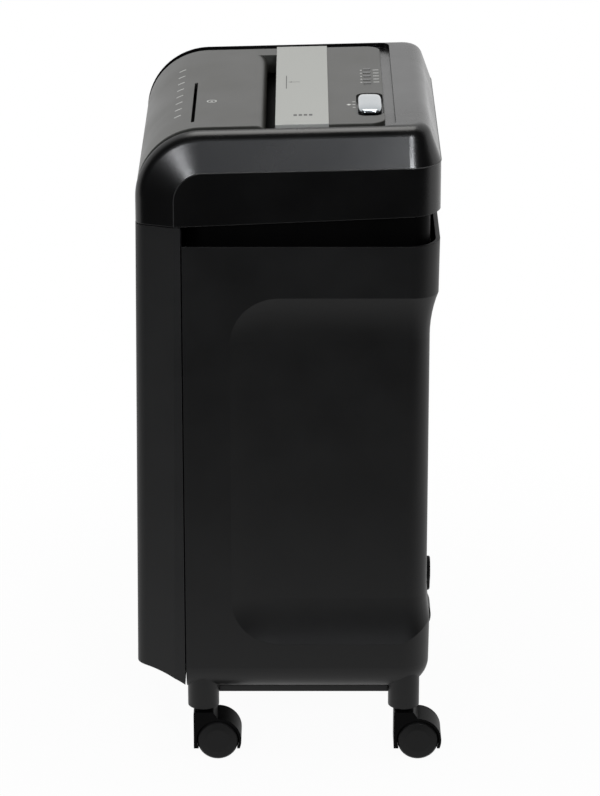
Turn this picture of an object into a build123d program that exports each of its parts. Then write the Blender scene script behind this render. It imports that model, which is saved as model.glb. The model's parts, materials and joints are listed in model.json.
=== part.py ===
from build123d import *
import os
from math import atan2, cos, degrees, pi, radians, sin, tan

# Paper shredder on castors: a head with motor and cutters over a cabinet with a pull-out bin.
# Millimetres. +Z is up, -Y is the user's side, +X is the user's right.
# The origin is on the floor, under the middle of the whole.

os.makedirs("parts", exist_ok=True)

# Overall size
WIDTH = 320.0
DEPTH = 266.0
FRONT_LEAN = 4.0
CASTOR_OVERHANG = 6.4
WALL = 3.0
SLIDE_GAP = 0.3
SEAM = 1.0
RUN_GAP = 0.05
SEAT_GAP = 0.02

FRONT_Y = FRONT_LEAN - (FRONT_LEAN + DEPTH + CASTOR_OVERHANG) / 2
REAR_Y = FRONT_Y + DEPTH
SIDE_X = WIDTH / 2

# Levels, from the floor up
WHEEL_R = 18.5
SOCKET_BOTTOM_Z = 49.0
PLATE_BOTTOM_Z = 59.5
PLATE_T = 6.0
CABINET_BOTTOM_Z = PLATE_BOTTOM_Z + PLATE_T
LEDGE_Z = 455.0
RIM_Z = 491.5
HEAD_FRONT_Z = 509.5
HEAD_REAR_Z = 519.5
CREST_FRONT_Z = 591.8

# Cabinet
FRONT_PANEL_DEPTH = 39.5
CABINET_FRONT_Y = FRONT_Y + FRONT_PANEL_DEPTH + SEAM
CORNER_R = 28.0
REAR_DRAFT = 6.0
BOTTOM_R = 26.0
CABINET_FLOOR_T = 4.0
WAIST_DEPTH = 8.0
WAIST_LOW_Z = 115.0
WAIST_HIGH_Z = 444.5
WAIST_FRONT_Y = CABINET_FRONT_Y + 42.9
WAIST_RUN = 42.0
WAIST_OVERRUN = 1.25
LINER_WALL = 3.5
CAVITY_R = 20.0
CAVITY_FLOOR_R = 18.0

# Head
HEAD_ARC_R = 60.0
TOP_SLOPE = 1.4
SHOULDER_DROP = 34.0
SHOULDER_IN = 12.0
CREST_R = 12.0
POCKET_DROP = 5.0
POCKET_X = SIDE_X - 18.0
POCKET_REAR_Y = REAR_Y - 39.6
POCKET_CORNER_R = 12.0

# Deck, with its slots and controls
DECK_DROP = 0.6
MOAT = 11.0
DECK_X = POCKET_X - MOAT
DECK_REAR_Y = POCKET_REAR_Y - 9.0
DECK_CORNER_R = 14.0
DECK_EDGE_R = 0.8
NIP_Y = FRONT_Y + 89.4
STRIP_FRONT_Y = FRONT_Y + 121.9
STRIP_TO_KNOB = 36.5
STRIP_T = 1.2
STRIP_FOLD = 3.6
STRIP_EDGE_R = 0.95
THROAT_LOW_X = 24.0 - DECK_X
THROAT_HIGH_X = DECK_X
THROAT_WIDTH = 9.0
FUNNEL_R = 9.0
FUNNEL_DEPTH = 17.0
FUNNEL_WALL = 4.0
DISC_SLOT_LENGTH = 129.0
DISC_SLOT_HIGH_X = DECK_X - 19.0
DISC_SLOT_LOW_X = DISC_SLOT_HIGH_X - DISC_SLOT_LENGTH
DISC_SLOT_Y = FRONT_Y + 49.9
DISC_SLOT_WIDTH = 3.0
KNOB_X = DECK_X - 61.0
KNOB_Y = DECK_REAR_Y - 12.5
STRIP_WIDTH = KNOB_Y - STRIP_TO_KNOB - STRIP_FRONT_Y
KNOB_LENGTH = 54.0
KNOB_WIDTH = 21.0
KNOB_PROUD = 3.6
KNOB_END_RISE = 0.7
KNOB_MIDDLE_RISE = 1.25
KNOB_CREST_X = 19.5
KNOB_TRAVEL = 9.0
WELL_GAP = 1.2
WELL_CORNER_R = 9.0
STEM_LENGTH = 10.0
STEM_WIDTH = 6.0
LENS_COUNT = 5
LENS_FIRST_X = KNOB_X - 118.5
LENS_PITCH = 12.0
LENS_Y = KNOB_Y - 1.0
LENS_LENGTH = 7.0
LENS_WIDTH = 4.2
LENS_PROUD = 0.3

FIT = 0.5

# Head tray
SKIRT_X = SIDE_X - 9.0
SKIRT_FRONT_Y = CABINET_FRONT_Y + 4.0
SKIRT_REAR_Y = REAR_Y - 9.0
SKIRT_R = 18.0
TRAY_FLOOR_Z = 508.0
FLANGE_Z = 521.0
TRAY_BOSS_R = 5.0
COVER_SCREW_X = SKIRT_X - 7.0
COVER_SCREW_FRONT_Y = SKIRT_FRONT_Y + 21.0
COVER_SCREW_REAR_Y = SKIRT_REAR_Y - 18.0

BOSS_TOP_Z = CREST_FRONT_Z - 10.5
SKIN_CUT_Z = CREST_FRONT_Z - 17.0
HEAD_SCREW_LENGTH = 36.0

# Switch body, paper sensors, interlock switch, control board
SWITCH_LENGTH = 60.0
SWITCH_WIDTH = 18.0
SWITCH_HEIGHT = 12.0
SENSOR_PLACES = (-20.0, 44.0)
SENSOR_Y = STRIP_FRONT_Y + 21.5
SENSOR_SIZE = (14.0, 10.0, 8.0)
INTERLOCK_X = SKIRT_X - 91.0
INTERLOCK_Z = 482.0
INTERLOCK_SIZE = (22.0, 10.0, 15.0)
BOARD_LENGTH = 90.0
BOARD_WIDTH = 58.0
BOARD_HIGH_X = SKIRT_X - 36.0
BOARD_LOW_X = BOARD_HIGH_X - BOARD_LENGTH
BOARD_LOW_Y = NIP_Y + 60.0
BOARD_HIGH_Y = BOARD_LOW_Y + BOARD_WIDTH
BOARD_Z = 520.0
BOARD_T = 1.6
BOARD_EDGE = 6.0
STANDOFF_R = 4.0
BOARD_BLOCKS = ((14.0, 22.0, 26.0, 18.0), (42.0, 14.0, 20.0, 14.0))
CAPACITOR_OFFSETS = (64.0, 77.0)
CAPACITOR_R = 5.0
CAPACITOR_HEIGHT = 20.0

# Rear of the head: mains rocker and cord gland
ROCKER_X = 20.0
ROCKER_Z = 541.0
ROCKER_HALF_X = 7.0
ROCKER_HALF_Z = 6.5
ROCKER_FRONT = 4.0
ROCKER_DIP = 1.4
ROCKER_TILT = 8.0
ROCKER_PIVOT_Y = REAR_Y - 6.0
ROCKER_PIN_R = 1.5
ROCKER_PIN = 1.4
FRAME_HALF_X = 10.0
FRAME_HALF_Z = 11.0
FRAME_DEPTH = 16.0
FRAME_ROOM_Z = 8.6
GLAND_X = 40.0 - SIDE_X
GLAND_R = 8.0
GLAND_FLANGE_R = 11.0
GLAND_BORE_R = 3.6
GLAND_DEPTH = 14.0

# Rear spacer
SPACER_Z = 122.0
SPACER_R = 12.0
SPACER_TIP = 22.0

# Cutters
HOOKS = 3
HOOK_STAGGER = 17.0
ROLLER_Z = 541.0
ROLLER_SPACING = 36.0
DISC_R = 20.0
TOOTH_RISE = 1.0
CORE_R = 13.0
CUT_PITCH = 10.0
DISC_COUNT = int((DECK_X - THROAT_LOW_X) // CUT_PITCH)
DISC_T = 4.7
JOURNAL_R = 6.0
SHAFT_END_R = 5.0
PLATE_SIDE_T = 3.0
ROLLER_END_GAP = 2.0
BUSH_R = 9.0
BUSH_FLANGE_R = 11.0
BUSH_FLANGE_T = 1.0
TIE_R = 4.0
COMB_REACH = 8.0
COMB_BAR = 6.0
COMB_HEIGHT = 9.0
COMB_FINGER_T = 3.4

SHAFT_PROUD = 2.0
CORE_SIDES = 8
SIDE_PLATE_TOP_Z = 573.0
SIDE_PLATE_STEP_Z = 526.0
SIDE_PLATE_FRONT_Y = NIP_Y - 50.0
SIDE_PLATE_FOOT_Y = NIP_Y - 39.0
SIDE_PLATE_REAR_Y = NIP_Y + 46.0
MOTOR_PLATE_REAR_Y = NIP_Y + 117.0
TIE_PLACES = ((NIP_Y - 35.0, 517.0), (NIP_Y + 40.0, 517.0), (NIP_Y - 45.0, 553.0))
SHRED_FRONT_Y = NIP_Y - 38.0
SHRED_REAR_Y = NIP_Y + 38.0
CHUTE_TOP_Z = 573.5
CHUTE_LOW_Z = 560.0
CHUTE_END_T = 1.6

CHUTE_END_LOW_Z = 566.0
CHUTE_FRONT_DROP = 7.0
HOOK_STEPS = (
    (0.0, DISC_R),
    (0.28, DISC_R),
    (0.56, DISC_R),
    (0.84, DISC_R + TOOTH_RISE),
    (0.88, DISC_R - 3 * TOOTH_RISE),
)

# Gears
ROOT_DEPTH = 1.25
TIP_HEIGHT = 0.95
PRESSURE_ANGLE = 20.0
IDLER_HUB_R = 7.0
MOTOR_SCREW_R = 16.0
CAP_SLOTS = 6
CAP_SLOT_RADIUS = 18.0
CAP_SLOT_R = 4.0
ARMATURE_R = 21.0
GEAR_T = 7.0
GEAR_GAP = 2.0
SYNC_TEETH = 24
DRIVE_MODULE = 1.5
REDUCTION_TEETH = 36
IDLER_SMALL_TEETH = 12
MOTOR_MODULE = 1.0
IDLER_BIG_TEETH = 60
PINION_TEETH = 12
IDLER_ANGLE = 8.0
MOTOR_ANGLE = -8.0
TOOTH_SHARE = 0.4
MOTOR_R = 28.0
MOTOR_LENGTH = 96.0
MOTOR_CAP_T = 12.0
ROTOR_R = 3.0
IDLER_PIN_R = 4.0

# Bin
TUB_RIM_Z = LEDGE_Z - 6.0
TUB_WALL = 2.5
TUB_REAR_GAP = 3.0
TUB_SIDE_GAP = 2.0
TUB_R = 18.0
TUB_FLOOR_R = 16.0
TUB_FLOOR_T = 3.0
PANEL_LOW_FRONT_Z = 92.0
PANEL_LOW_REAR_Z = 75.0
PANEL_BEND_Z = 86.0
FLANGE_FOOT = 7.8
WINDOW_WIDTH = 70.0
WINDOW_LOW_Z = 190.0
WINDOW_HIGH_Z = 390.0
WINDOW_R = 20.0
WINDOW_LIP = 6.0
WINDOW_T = 2.5
GRIP_WIDTH = 130.0
GRIP_LOW_Z = 440.0
GRIP_HIGH_Z = 476.0
GRIP_R = 14.0
GRIP_CUP_DEPTH = 22.0
GRIP_RISE = 12.0
PANEL_SCREW_X = SIDE_X - 50.0
PANEL_SCREW_LENGTH = 17.5
PANEL_SCREW_LOW_Z = 140.0
PANEL_SCREW_HIGH_Z = 420.0

# Castors
CASTOR_X = SIDE_X - 17.0
CASTOR_FRONT_Y = CABINET_FRONT_Y + 14.9
CASTOR_REAR_Y = REAR_Y - 28.1
SOCKET_R = 14.2
SOCKET_TOP_Z = 92.0
CASTOR_TRAIL = 13.0
HOOD_GAP = 0.8
HOOD_T = 2.2
HOOD_HALF = 15.5
HOOD_TOP_Z = 46.5
WHEEL_WIDTH = 12.5
WEB_HALF = 3.0
STEM_R = 4.0
STEM_TOP_Z = 71.0
COLLAR_R = 7.0
AXLE_R = 2.5

HOOD_LOW_Z = 10.5
HOOD_FRONT = 9.0
HOOD_EDGE = 2.0
WHEEL_GAP = 0.5
WHEEL_EDGE = 1.5
HUB_RISE = 1.0
HUB_R = 11.0
STEM_LOW_Z = 35.0

# Screws
BASE_X = SIDE_X - 20.0
BASE_R = 6.0
BASE_SCREW_X = BASE_X - 50.0
BASE_SCREW_Y = 60.0
SCREW_R = 1.9
SCREW_HEAD_R = 3.6
SCREW_HEAD_T = 2.2
HEAD_SINK = 2.6


def keep(builder, name):
    """Labels a finished piece and writes it."""
    builder.part.label = name
    export_step(builder.part, f"parts/{name}.step")


def top_z(y, inset=0.0):
    """Height of the head's sloping top line at depth y, moved inwards by inset."""
    rise = (y - FRONT_Y - HEAD_ARC_R) * tan(radians(TOP_SLOPE))
    return CREST_FRONT_Z + rise - inset / cos(radians(TOP_SLOPE))


def deck_plane(y, lift=0.0):
    """Plane in the top of the deck at depth y, moved outwards by lift."""
    slope = radians(TOP_SLOPE)
    flat = Plane(origin=(0, y, top_z(y, DECK_DROP)), x_dir=(1, 0, 0), z_dir=(0, -sin(slope), cos(slope)))
    return flat.offset(lift)


def head_face(inset, rear_inset, drop=0.0):
    """Side outline of the head: vertical front, round front top, sloping top, stepped underside."""
    front = FRONT_Y + inset
    rear = REAR_Y - rear_inset
    with BuildSketch(Plane.YZ) as outline:
        with BuildLine():
            Polyline(
                (front, HEAD_FRONT_Z - drop),
                (front, top_z(front, inset)),
                (rear, top_z(rear, inset)),
                (rear, HEAD_REAR_Z - drop),
                (CABINET_FRONT_Y, HEAD_FRONT_Z - drop),
                close=True,
            )
        make_face()
        front_top = outline.vertices().group_by(Axis.X)[0].sort_by(Axis.Y)[-1]
        fillet(front_top, HEAD_ARC_R - inset)
    return outline.sketch


def head_form(side_inset, inset, drop=0.0):
    """The head as a solid, with rounded rear corners and the sloping shoulder along its upper edges."""
    with BuildPart() as form:
        extrude(head_face(inset, side_inset, drop), amount=SIDE_X - side_inset, both=True)
        rear_corners = form.edges().filter_by(Axis.Z).group_by(Axis.Y)[-1]
        fillet(rear_corners, CORNER_R - side_inset)
        side = form.faces().sort_by(Axis.X)[-1]
        top_edge = side.edges().sort_by(Axis.Z)[-1]
        chamfer(top_edge, length=SHOULDER_DROP, length2=SHOULDER_IN, reference=side)
        crest = form.faces().sort_by(SortBy.AREA).filter_by(lambda face: face.normal_at().Z > 0.9)[-1]
        fillet(crest.edges().filter_by(Axis.X, reverse=True).sort_by(Axis.X)[-1], CREST_R)
    return form.part


def top_band(outer, inner, half_width, rear, corner_r):
    """Slab that follows the top and the round front of the head between two insets."""
    with BuildPart() as band:
        extrude(head_face(outer, 0), amount=half_width, both=True)
        extrude(head_face(inner, 0, FRONT_PANEL_DEPTH), amount=half_width, both=True, mode=Mode.SUBTRACT)
        add(plain_block(-SIDE_X, SIDE_X, rear, DEPTH, LEDGE_Z, WIDTH + RIM_Z), mode=Mode.SUBTRACT)
        rear_edges = band.faces().sort_by(Axis.Y)[-1].edges().filter_by(Axis.X, reverse=True)
        fillet(rear_edges, corner_r)
    return band.part


def rounded_block(low_x, high_x, low_y, high_y, low_z, high_z, radius):
    """Upright block with rounded vertical corners."""
    with BuildPart() as block:
        with BuildSketch(Plane.XY.offset(low_z)):
            with Locations(((low_x + high_x) / 2, (low_y + high_y) / 2)):
                RectangleRounded(high_x - low_x, high_y - low_y, radius)
        extrude(amount=high_z - low_z)
    return block.part


def plain_block(low_x, high_x, low_y, high_y, low_z, high_z):
    """Upright block with square corners."""
    with BuildPart() as block:
        with BuildSketch(Plane.XY.offset(low_z)):
            with Locations(((low_x + high_x) / 2, (low_y + high_y) / 2)):
                Rectangle(high_x - low_x, high_y - low_y)
        extrude(amount=high_z - low_z)
    return block.part


def rod_x(y, z, radius, low_x, high_x):
    """Round bar along X."""
    with BuildPart() as rod:
        with BuildSketch(Plane.YZ.offset(low_x)):
            with Locations((y, z)):
                Circle(radius)
        extrude(amount=high_x - low_x)
    return rod.part


def rod_z(x, y, radius, low_z, high_z):
    """Round bar along Z."""
    with BuildPart() as rod:
        with BuildSketch(Plane.XY.offset(low_z)):
            with Locations((x, y)):
                Circle(radius)
        extrude(amount=high_z - low_z)
    return rod.part


def rod_y(x, z, radius, low_y, high_y):
    """Round bar along Y."""
    with BuildPart() as rod:
        with BuildSketch(Plane.XZ.offset(-high_y)):
            with Locations((x, z)):
                Circle(radius)
        extrude(amount=high_y - low_y)
    return rod.part


def pin_z(x, y, seat_z, length, direction):
    """Screw along Z: its head lies against seat_z and its shank runs in the given direction."""
    head_end = seat_z - direction * SCREW_HEAD_T
    tip = seat_z + direction * length
    with BuildPart() as pin:
        add(rod_z(x, y, SCREW_HEAD_R, min(seat_z, head_end), max(seat_z, head_end)))
        add(rod_z(x, y, SCREW_R, min(seat_z, tip), max(seat_z, tip)))
    return pin.part


# Cabinet: an upright box, open to the front and the top, with a waist round the sides and the rear
cavity_x = SIDE_X - WAIST_DEPTH - LINER_WALL
cavity_rear_y = REAR_Y - WAIST_DEPTH - LINER_WALL
cavity_floor_z = CABINET_BOTTOM_Z + CABINET_FLOOR_T
waist_r = (WAIST_RUN**2 + WAIST_DEPTH**2) / (2 * WAIST_DEPTH)
waist_start_y = WAIST_FRONT_Y + WAIST_RUN
waist_sweep = degrees(atan2(WAIST_RUN * WAIST_OVERRUN, waist_r))
castor_places = {
    "front_right": (CASTOR_X, CASTOR_FRONT_Y),
    "front_left": (-CASTOR_X, CASTOR_FRONT_Y),
    "rear_right": (CASTOR_X, CASTOR_REAR_Y),
    "rear_left": (-CASTOR_X, CASTOR_REAR_Y),
}
base_screw_places = [(x, y) for x in (-BASE_SCREW_X, BASE_SCREW_X) for y in (-BASE_SCREW_Y, BASE_SCREW_Y)]

with BuildPart() as waist_cutter:
    with BuildLine() as waist_path:
        Line((0, REAR_Y), (SIDE_X - CORNER_R, REAR_Y))
        CenterArc((SIDE_X - CORNER_R, REAR_Y - CORNER_R), CORNER_R, 90, -90)
        Line((SIDE_X, REAR_Y - CORNER_R), (SIDE_X, waist_start_y))
        CenterArc((SIDE_X + waist_r, waist_start_y), waist_r, 180, waist_sweep)
    path_start = Plane(origin=(0, REAR_Y, 0), x_dir=(0, -1, 0), z_dir=(-1, 0, 0))
    with BuildSketch(path_start) as waist_section:
        with BuildLine():
            low_inner = WAIST_LOW_Z + WAIST_RUN
            high_inner = WAIST_HIGH_Z - WAIST_RUN
            bottom_arc = CenterArc((WAIST_DEPTH - waist_r, low_inner), waist_r, 0, -waist_sweep)
            Line((WAIST_DEPTH, low_inner), (WAIST_DEPTH, high_inner))
            top_arc = CenterArc((WAIST_DEPTH - waist_r, high_inner), waist_r, 0, waist_sweep)
            Line(top_arc @ 1, bottom_arc @ 1)
        make_face()
    sweep(waist_section.sketch, path=waist_path.wire())
    mirror(about=Plane.YZ)

with BuildPart() as bin_space:
    add(
        rounded_block(
            -cavity_x, cavity_x, CABINET_FRONT_Y - DEPTH, cavity_rear_y, cavity_floor_z, RIM_Z + WALL, CAVITY_R
        )
    )
    fillet(bin_space.faces().sort_by(Axis.Z)[0].edges(), CAVITY_FLOOR_R)

with BuildPart() as cabinet_shell:
    with BuildSketch(Plane.YZ):
        with BuildLine():
            Polyline(
                (CABINET_FRONT_Y, CABINET_BOTTOM_Z),
                (REAR_Y - REAR_DRAFT, CABINET_BOTTOM_Z),
                (REAR_Y, RIM_Z),
                (CABINET_FRONT_Y, RIM_Z),
                close=True,
            )
        make_face()
    extrude(amount=SIDE_X, both=True)
    fillet(cabinet_shell.faces().sort_by(Axis.Y)[-1].edges().filter_by(Axis.X, reverse=True), CORNER_R)
    fillet(cabinet_shell.faces().sort_by(Axis.Z)[0].edges().sort_by(Axis.Y)[1:], BOTTOM_R)
    add(waist_cutter.part, mode=Mode.SUBTRACT)
    for x, y in castor_places.values():
        add(rod_z(x, y, SOCKET_R, SOCKET_BOTTOM_Z, SOCKET_TOP_Z))
    add(bin_space.part, mode=Mode.SUBTRACT)
    collar_x = SIDE_X - WALL
    add(
        rounded_block(
            -collar_x, collar_x, CABINET_FRONT_Y - DEPTH, REAR_Y - WALL - SEAM, LEDGE_Z, RIM_Z + WALL, CORNER_R - WALL
        ),
        mode=Mode.SUBTRACT,
    )
    for x, y in castor_places.values():
        add(rod_z(x, y, STEM_R + RUN_GAP, SOCKET_BOTTOM_Z, STEM_TOP_Z + SEAM), mode=Mode.SUBTRACT)
    for x, y in base_screw_places:
        add(rod_z(x, y, SCREW_R + SEAT_GAP, CABINET_BOTTOM_Z, cavity_floor_z - SEAM), mode=Mode.SUBTRACT)
keep(cabinet_shell, "cabinet_shell")

# Base plate, screwed under the cabinet between the castor sockets
with BuildPart() as base_plate:
    add(
        rounded_block(
            -BASE_X, BASE_X, CABINET_FRONT_Y + WALL, CASTOR_REAR_Y, PLATE_BOTTOM_Z, CABINET_BOTTOM_Z, BASE_R
        )
    )
    for x, y in castor_places.values():
        add(rod_z(x, y, SOCKET_R + FIT, PLATE_BOTTOM_Z, CABINET_BOTTOM_Z), mode=Mode.SUBTRACT)
    for x, y in base_screw_places:
        add(rod_z(x, y, SCREW_R + SEAT_GAP, PLATE_BOTTOM_Z, CABINET_BOTTOM_Z), mode=Mode.SUBTRACT)
        add(rod_z(x, y, SCREW_HEAD_R + FIT, PLATE_BOTTOM_Z, PLATE_BOTTOM_Z + HEAD_SINK), mode=Mode.SUBTRACT)
keep(base_plate, "base_plate")

with BuildPart() as base_screws:
    for x, y in base_screw_places:
        add(pin_z(x, y, PLATE_BOTTOM_Z + HEAD_SINK, PLATE_T + CABINET_FLOOR_T / 2 - HEAD_SINK, 1))
keep(base_screws, "base_screws")

# Rear spacer, a drop-shaped stand-off low on the rear wall
spacer_back_y = REAR_Y - REAR_DRAFT * (RIM_Z - SPACER_Z - SPACER_R) / (RIM_Z - CABINET_BOTTOM_Z)
with BuildPart() as rear_spacer:
    with BuildSketch(Plane.XZ.offset(-REAR_Y)):
        with Locations((0, SPACER_Z)):
            Circle(SPACER_R)
            Polygon((-SPACER_R, 0), (SPACER_R, 0), (0, -SPACER_TIP), align=None)
    extrude(amount=REAR_Y - spacer_back_y + WALL)
    fillet(rear_spacer.faces().sort_by(Axis.Y)[-1].edges(), WALL / 2)
    add(cabinet_shell.part, mode=Mode.SUBTRACT)
keep(rear_spacer, "rear_spacer")

# Head tray: a skirt that stands on the cabinet's ledge, a floor for the machinery and a flange for the cover
cover_screw_places = [
    (x, y) for x in (-COVER_SCREW_X, COVER_SCREW_X) for y in (COVER_SCREW_FRONT_Y, COVER_SCREW_REAR_Y)
]
board_posts = [
    (x, y)
    for x in (BOARD_LOW_X + BOARD_EDGE, BOARD_HIGH_X - BOARD_EDGE)
    for y in (BOARD_LOW_Y + BOARD_EDGE, BOARD_HIGH_Y - BOARD_EDGE)
]
tray_top_z = FLANGE_Z + WALL
tray_floor_top_z = TRAY_FLOOR_Z + WALL
cutter_low_x = THROAT_LOW_X
cutter_high_x = THROAT_LOW_X + DISC_COUNT * CUT_PITCH
left_plate_x = cutter_low_x - ROLLER_END_GAP
right_plate_x = cutter_high_x + ROLLER_END_GAP

with BuildPart() as tray_flange:
    add(head_form(WALL + FIT, POCKET_DROP + WALL + FIT, FRONT_PANEL_DEPTH))
    with BuildSketch(Plane.XY.offset(FLANGE_Z)):
        Rectangle(2 * WIDTH, 2 * DEPTH)
    extrude(amount=WALL, mode=Mode.INTERSECT)

with BuildPart() as head_tray:
    add(rounded_block(-SKIRT_X, SKIRT_X, SKIRT_FRONT_Y, SKIRT_REAR_Y, LEDGE_Z, tray_top_z, SKIRT_R))
    add(tray_flange.part)
    inner_x = SKIRT_X - WALL
    inner_front = SKIRT_FRONT_Y + WALL
    inner_rear = SKIRT_REAR_Y - WALL
    inner_r = SKIRT_R - WALL
    add(
        rounded_block(-inner_x, inner_x, inner_front, inner_rear, LEDGE_Z, TRAY_FLOOR_Z, inner_r),
        mode=Mode.SUBTRACT,
    )
    add(
        rounded_block(-inner_x, inner_x, inner_front, inner_rear, tray_floor_top_z, tray_top_z, inner_r),
        mode=Mode.SUBTRACT,
    )
    for x, y in cover_screw_places:
        add(rod_z(x, y, TRAY_BOSS_R, TRAY_FLOOR_Z, tray_top_z))
    for x, y in board_posts:
        add(rod_z(x, y, STANDOFF_R, TRAY_FLOOR_Z, BOARD_Z))
    add(
        plain_block(cutter_low_x, cutter_high_x, SHRED_FRONT_Y, SHRED_REAR_Y, TRAY_FLOOR_Z, tray_floor_top_z),
        mode=Mode.SUBTRACT,
    )
    for x, y in cover_screw_places:
        add(rod_z(x, y, SCREW_R + SEAT_GAP, TRAY_FLOOR_Z, tray_top_z), mode=Mode.SUBTRACT)
    for x, y in board_posts:
        add(rod_z(x, y, SCREW_R + SEAT_GAP, tray_floor_top_z, BOARD_Z), mode=Mode.SUBTRACT)
keep(head_tray, "head_tray")

with BuildPart() as head_screws:
    for x, y in cover_screw_places:
        add(pin_z(x, y, TRAY_FLOOR_Z, HEAD_SCREW_LENGTH, 1))
keep(head_screws, "head_screws")

# Head cover: the outer skin of the head, with the shallow pocket that takes the deck
throat_front_y = STRIP_FRONT_Y - THROAT_WIDTH
funnel_front_y = throat_front_y - FUNNEL_R - FUNNEL_WALL
funnel_rear_y = STRIP_FRONT_Y + FUNNEL_WALL
funnel_low_x = THROAT_LOW_X - FUNNEL_WALL
funnel_bottom_z = top_z(throat_front_y, DECK_DROP) - FUNNEL_DEPTH
pocket_depth = POCKET_DROP - DECK_DROP
stem_room = STEM_LENGTH + 2 * (KNOB_TRAVEL + FIT)

with BuildPart() as head_cover:
    add(head_form(0, 0))
    add(head_form(WALL, POCKET_DROP + WALL, FRONT_PANEL_DEPTH), mode=Mode.SUBTRACT)
    add(top_band(-WALL, POCKET_DROP, POCKET_X, POCKET_REAR_Y, POCKET_CORNER_R), mode=Mode.SUBTRACT)
    for x, y in cover_screw_places:
        add(rod_z(x, y, TRAY_BOSS_R, tray_top_z, BOSS_TOP_Z))
    for x, y in cover_screw_places:
        hole_top_z = TRAY_FLOOR_Z + HEAD_SCREW_LENGTH + SEAM
        add(rod_z(x, y, SCREW_R + SEAT_GAP, tray_top_z, hole_top_z), mode=Mode.SUBTRACT)
    add(
        plain_block(
            funnel_low_x - FIT, DECK_X + FIT, funnel_front_y - FIT, funnel_rear_y + FIT, SKIN_CUT_Z, top_z(REAR_Y)
        ),
        mode=Mode.SUBTRACT,
    )
    add(
        plain_block(
            DISC_SLOT_LOW_X,
            DISC_SLOT_HIGH_X,
            DISC_SLOT_Y - DISC_SLOT_WIDTH,
            DISC_SLOT_Y + DISC_SLOT_WIDTH,
            SKIN_CUT_Z,
            top_z(REAR_Y),
        ),
        mode=Mode.SUBTRACT,
    )
    with BuildSketch(deck_plane(KNOB_Y)):
        with Locations((KNOB_X, 0)):
            Rectangle(stem_room, STEM_WIDTH + 2 * SLIDE_GAP)
    extrude(amount=-POCKET_DROP - 2 * WALL, mode=Mode.SUBTRACT)
    with BuildSketch(Plane.XZ.offset(-REAR_Y)):
        with Locations((ROCKER_X, ROCKER_Z)):
            Rectangle(2 * (FRAME_HALF_X + SEAT_GAP), 2 * (FRAME_HALF_Z + SEAT_GAP))
        with Locations((GLAND_X, ROCKER_Z)):
            Circle(GLAND_R + SEAT_GAP)
    extrude(amount=2 * WALL, mode=Mode.SUBTRACT)
keep(head_cover, "head_cover")

# Deck: the raised panel that runs from the controls over the round front
with BuildPart() as deck_panel:
    add(top_band(DECK_DROP, POCKET_DROP, DECK_X, DECK_REAR_Y, DECK_CORNER_R))
    near_side = deck_panel.faces().sort_by(Axis.X)[-1]
    fillet(near_side.edges().filter_by(Axis.Z, reverse=True).sort_by(Axis.Z)[-1], DECK_EDGE_R)
    add(
        plain_block(
            funnel_low_x,
            DECK_X,
            funnel_front_y,
            funnel_rear_y,
            funnel_bottom_z,
            top_z(funnel_front_y, DECK_DROP) - pocket_depth / 2,
        )
    )
    with BuildSketch(deck_plane(STRIP_FRONT_Y)):
        with Locations(((THROAT_LOW_X + DECK_X + WALL) / 2, -THROAT_WIDTH / 2)):
            Rectangle(DECK_X + WALL - THROAT_LOW_X, THROAT_WIDTH)
    extrude(amount=-2 * FUNNEL_DEPTH, mode=Mode.SUBTRACT)
    lip_point = (0, throat_front_y, top_z(throat_front_y, DECK_DROP))
    lip = deck_panel.edges().filter_by(Axis.X).sort_by_distance(lip_point)[0]
    fillet(lip, FUNNEL_R)
    add(
        plain_block(
            DISC_SLOT_LOW_X,
            DISC_SLOT_HIGH_X,
            DISC_SLOT_Y - DISC_SLOT_WIDTH / 2,
            DISC_SLOT_Y + DISC_SLOT_WIDTH / 2,
            SKIN_CUT_Z,
            top_z(REAR_Y),
        ),
        mode=Mode.SUBTRACT,
    )
    with BuildSketch(deck_plane(KNOB_Y)):
        with Locations((KNOB_X, 0)):
            RectangleRounded(
                KNOB_LENGTH + 2 * (KNOB_TRAVEL + WELL_GAP), KNOB_WIDTH + 2 * WELL_GAP, WELL_CORNER_R
            )
    extrude(amount=-2 * POCKET_DROP, mode=Mode.SUBTRACT)
    with BuildSketch(deck_plane(LENS_Y)):
        with Locations([(LENS_FIRST_X + i * LENS_PITCH, 0) for i in range(LENS_COUNT)]):
            Rectangle(LENS_WIDTH + 2 * SEAT_GAP, LENS_LENGTH + 2 * SEAT_GAP)
    extrude(amount=-2 * POCKET_DROP, mode=Mode.SUBTRACT)
keep(deck_panel, "deck_panel")

with BuildPart() as indicator_lenses:
    with BuildSketch(deck_plane(LENS_Y, -pocket_depth)):
        with Locations([(LENS_FIRST_X + i * LENS_PITCH, 0) for i in range(LENS_COUNT)]):
            Rectangle(LENS_WIDTH, LENS_LENGTH)
    extrude(amount=pocket_depth + LENS_PROUD)
keep(indicator_lenses, "indicator_lenses")

# Silver strip behind the throat, folded down over both deck edges
with BuildPart() as sensor_strip:
    with BuildSketch(deck_plane(STRIP_FRONT_Y, STRIP_T)):
        with Locations((0, STRIP_WIDTH / 2)):
            Rectangle(2 * (DECK_X + STRIP_T), STRIP_WIDTH)
    extrude(amount=-STRIP_T - STRIP_FOLD)
    with BuildSketch(deck_plane(STRIP_FRONT_Y)):
        with Locations((0, STRIP_WIDTH / 2)):
            Rectangle(2 * DECK_X, 2 * STRIP_WIDTH)
    extrude(amount=-2 * STRIP_FOLD, mode=Mode.SUBTRACT)
    strip_top = sensor_strip.faces().sort_by(SortBy.AREA)[-1]
    fillet(strip_top.edges().filter_by(Axis.X, reverse=True), STRIP_EDGE_R)
keep(sensor_strip, "sensor_strip")

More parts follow.
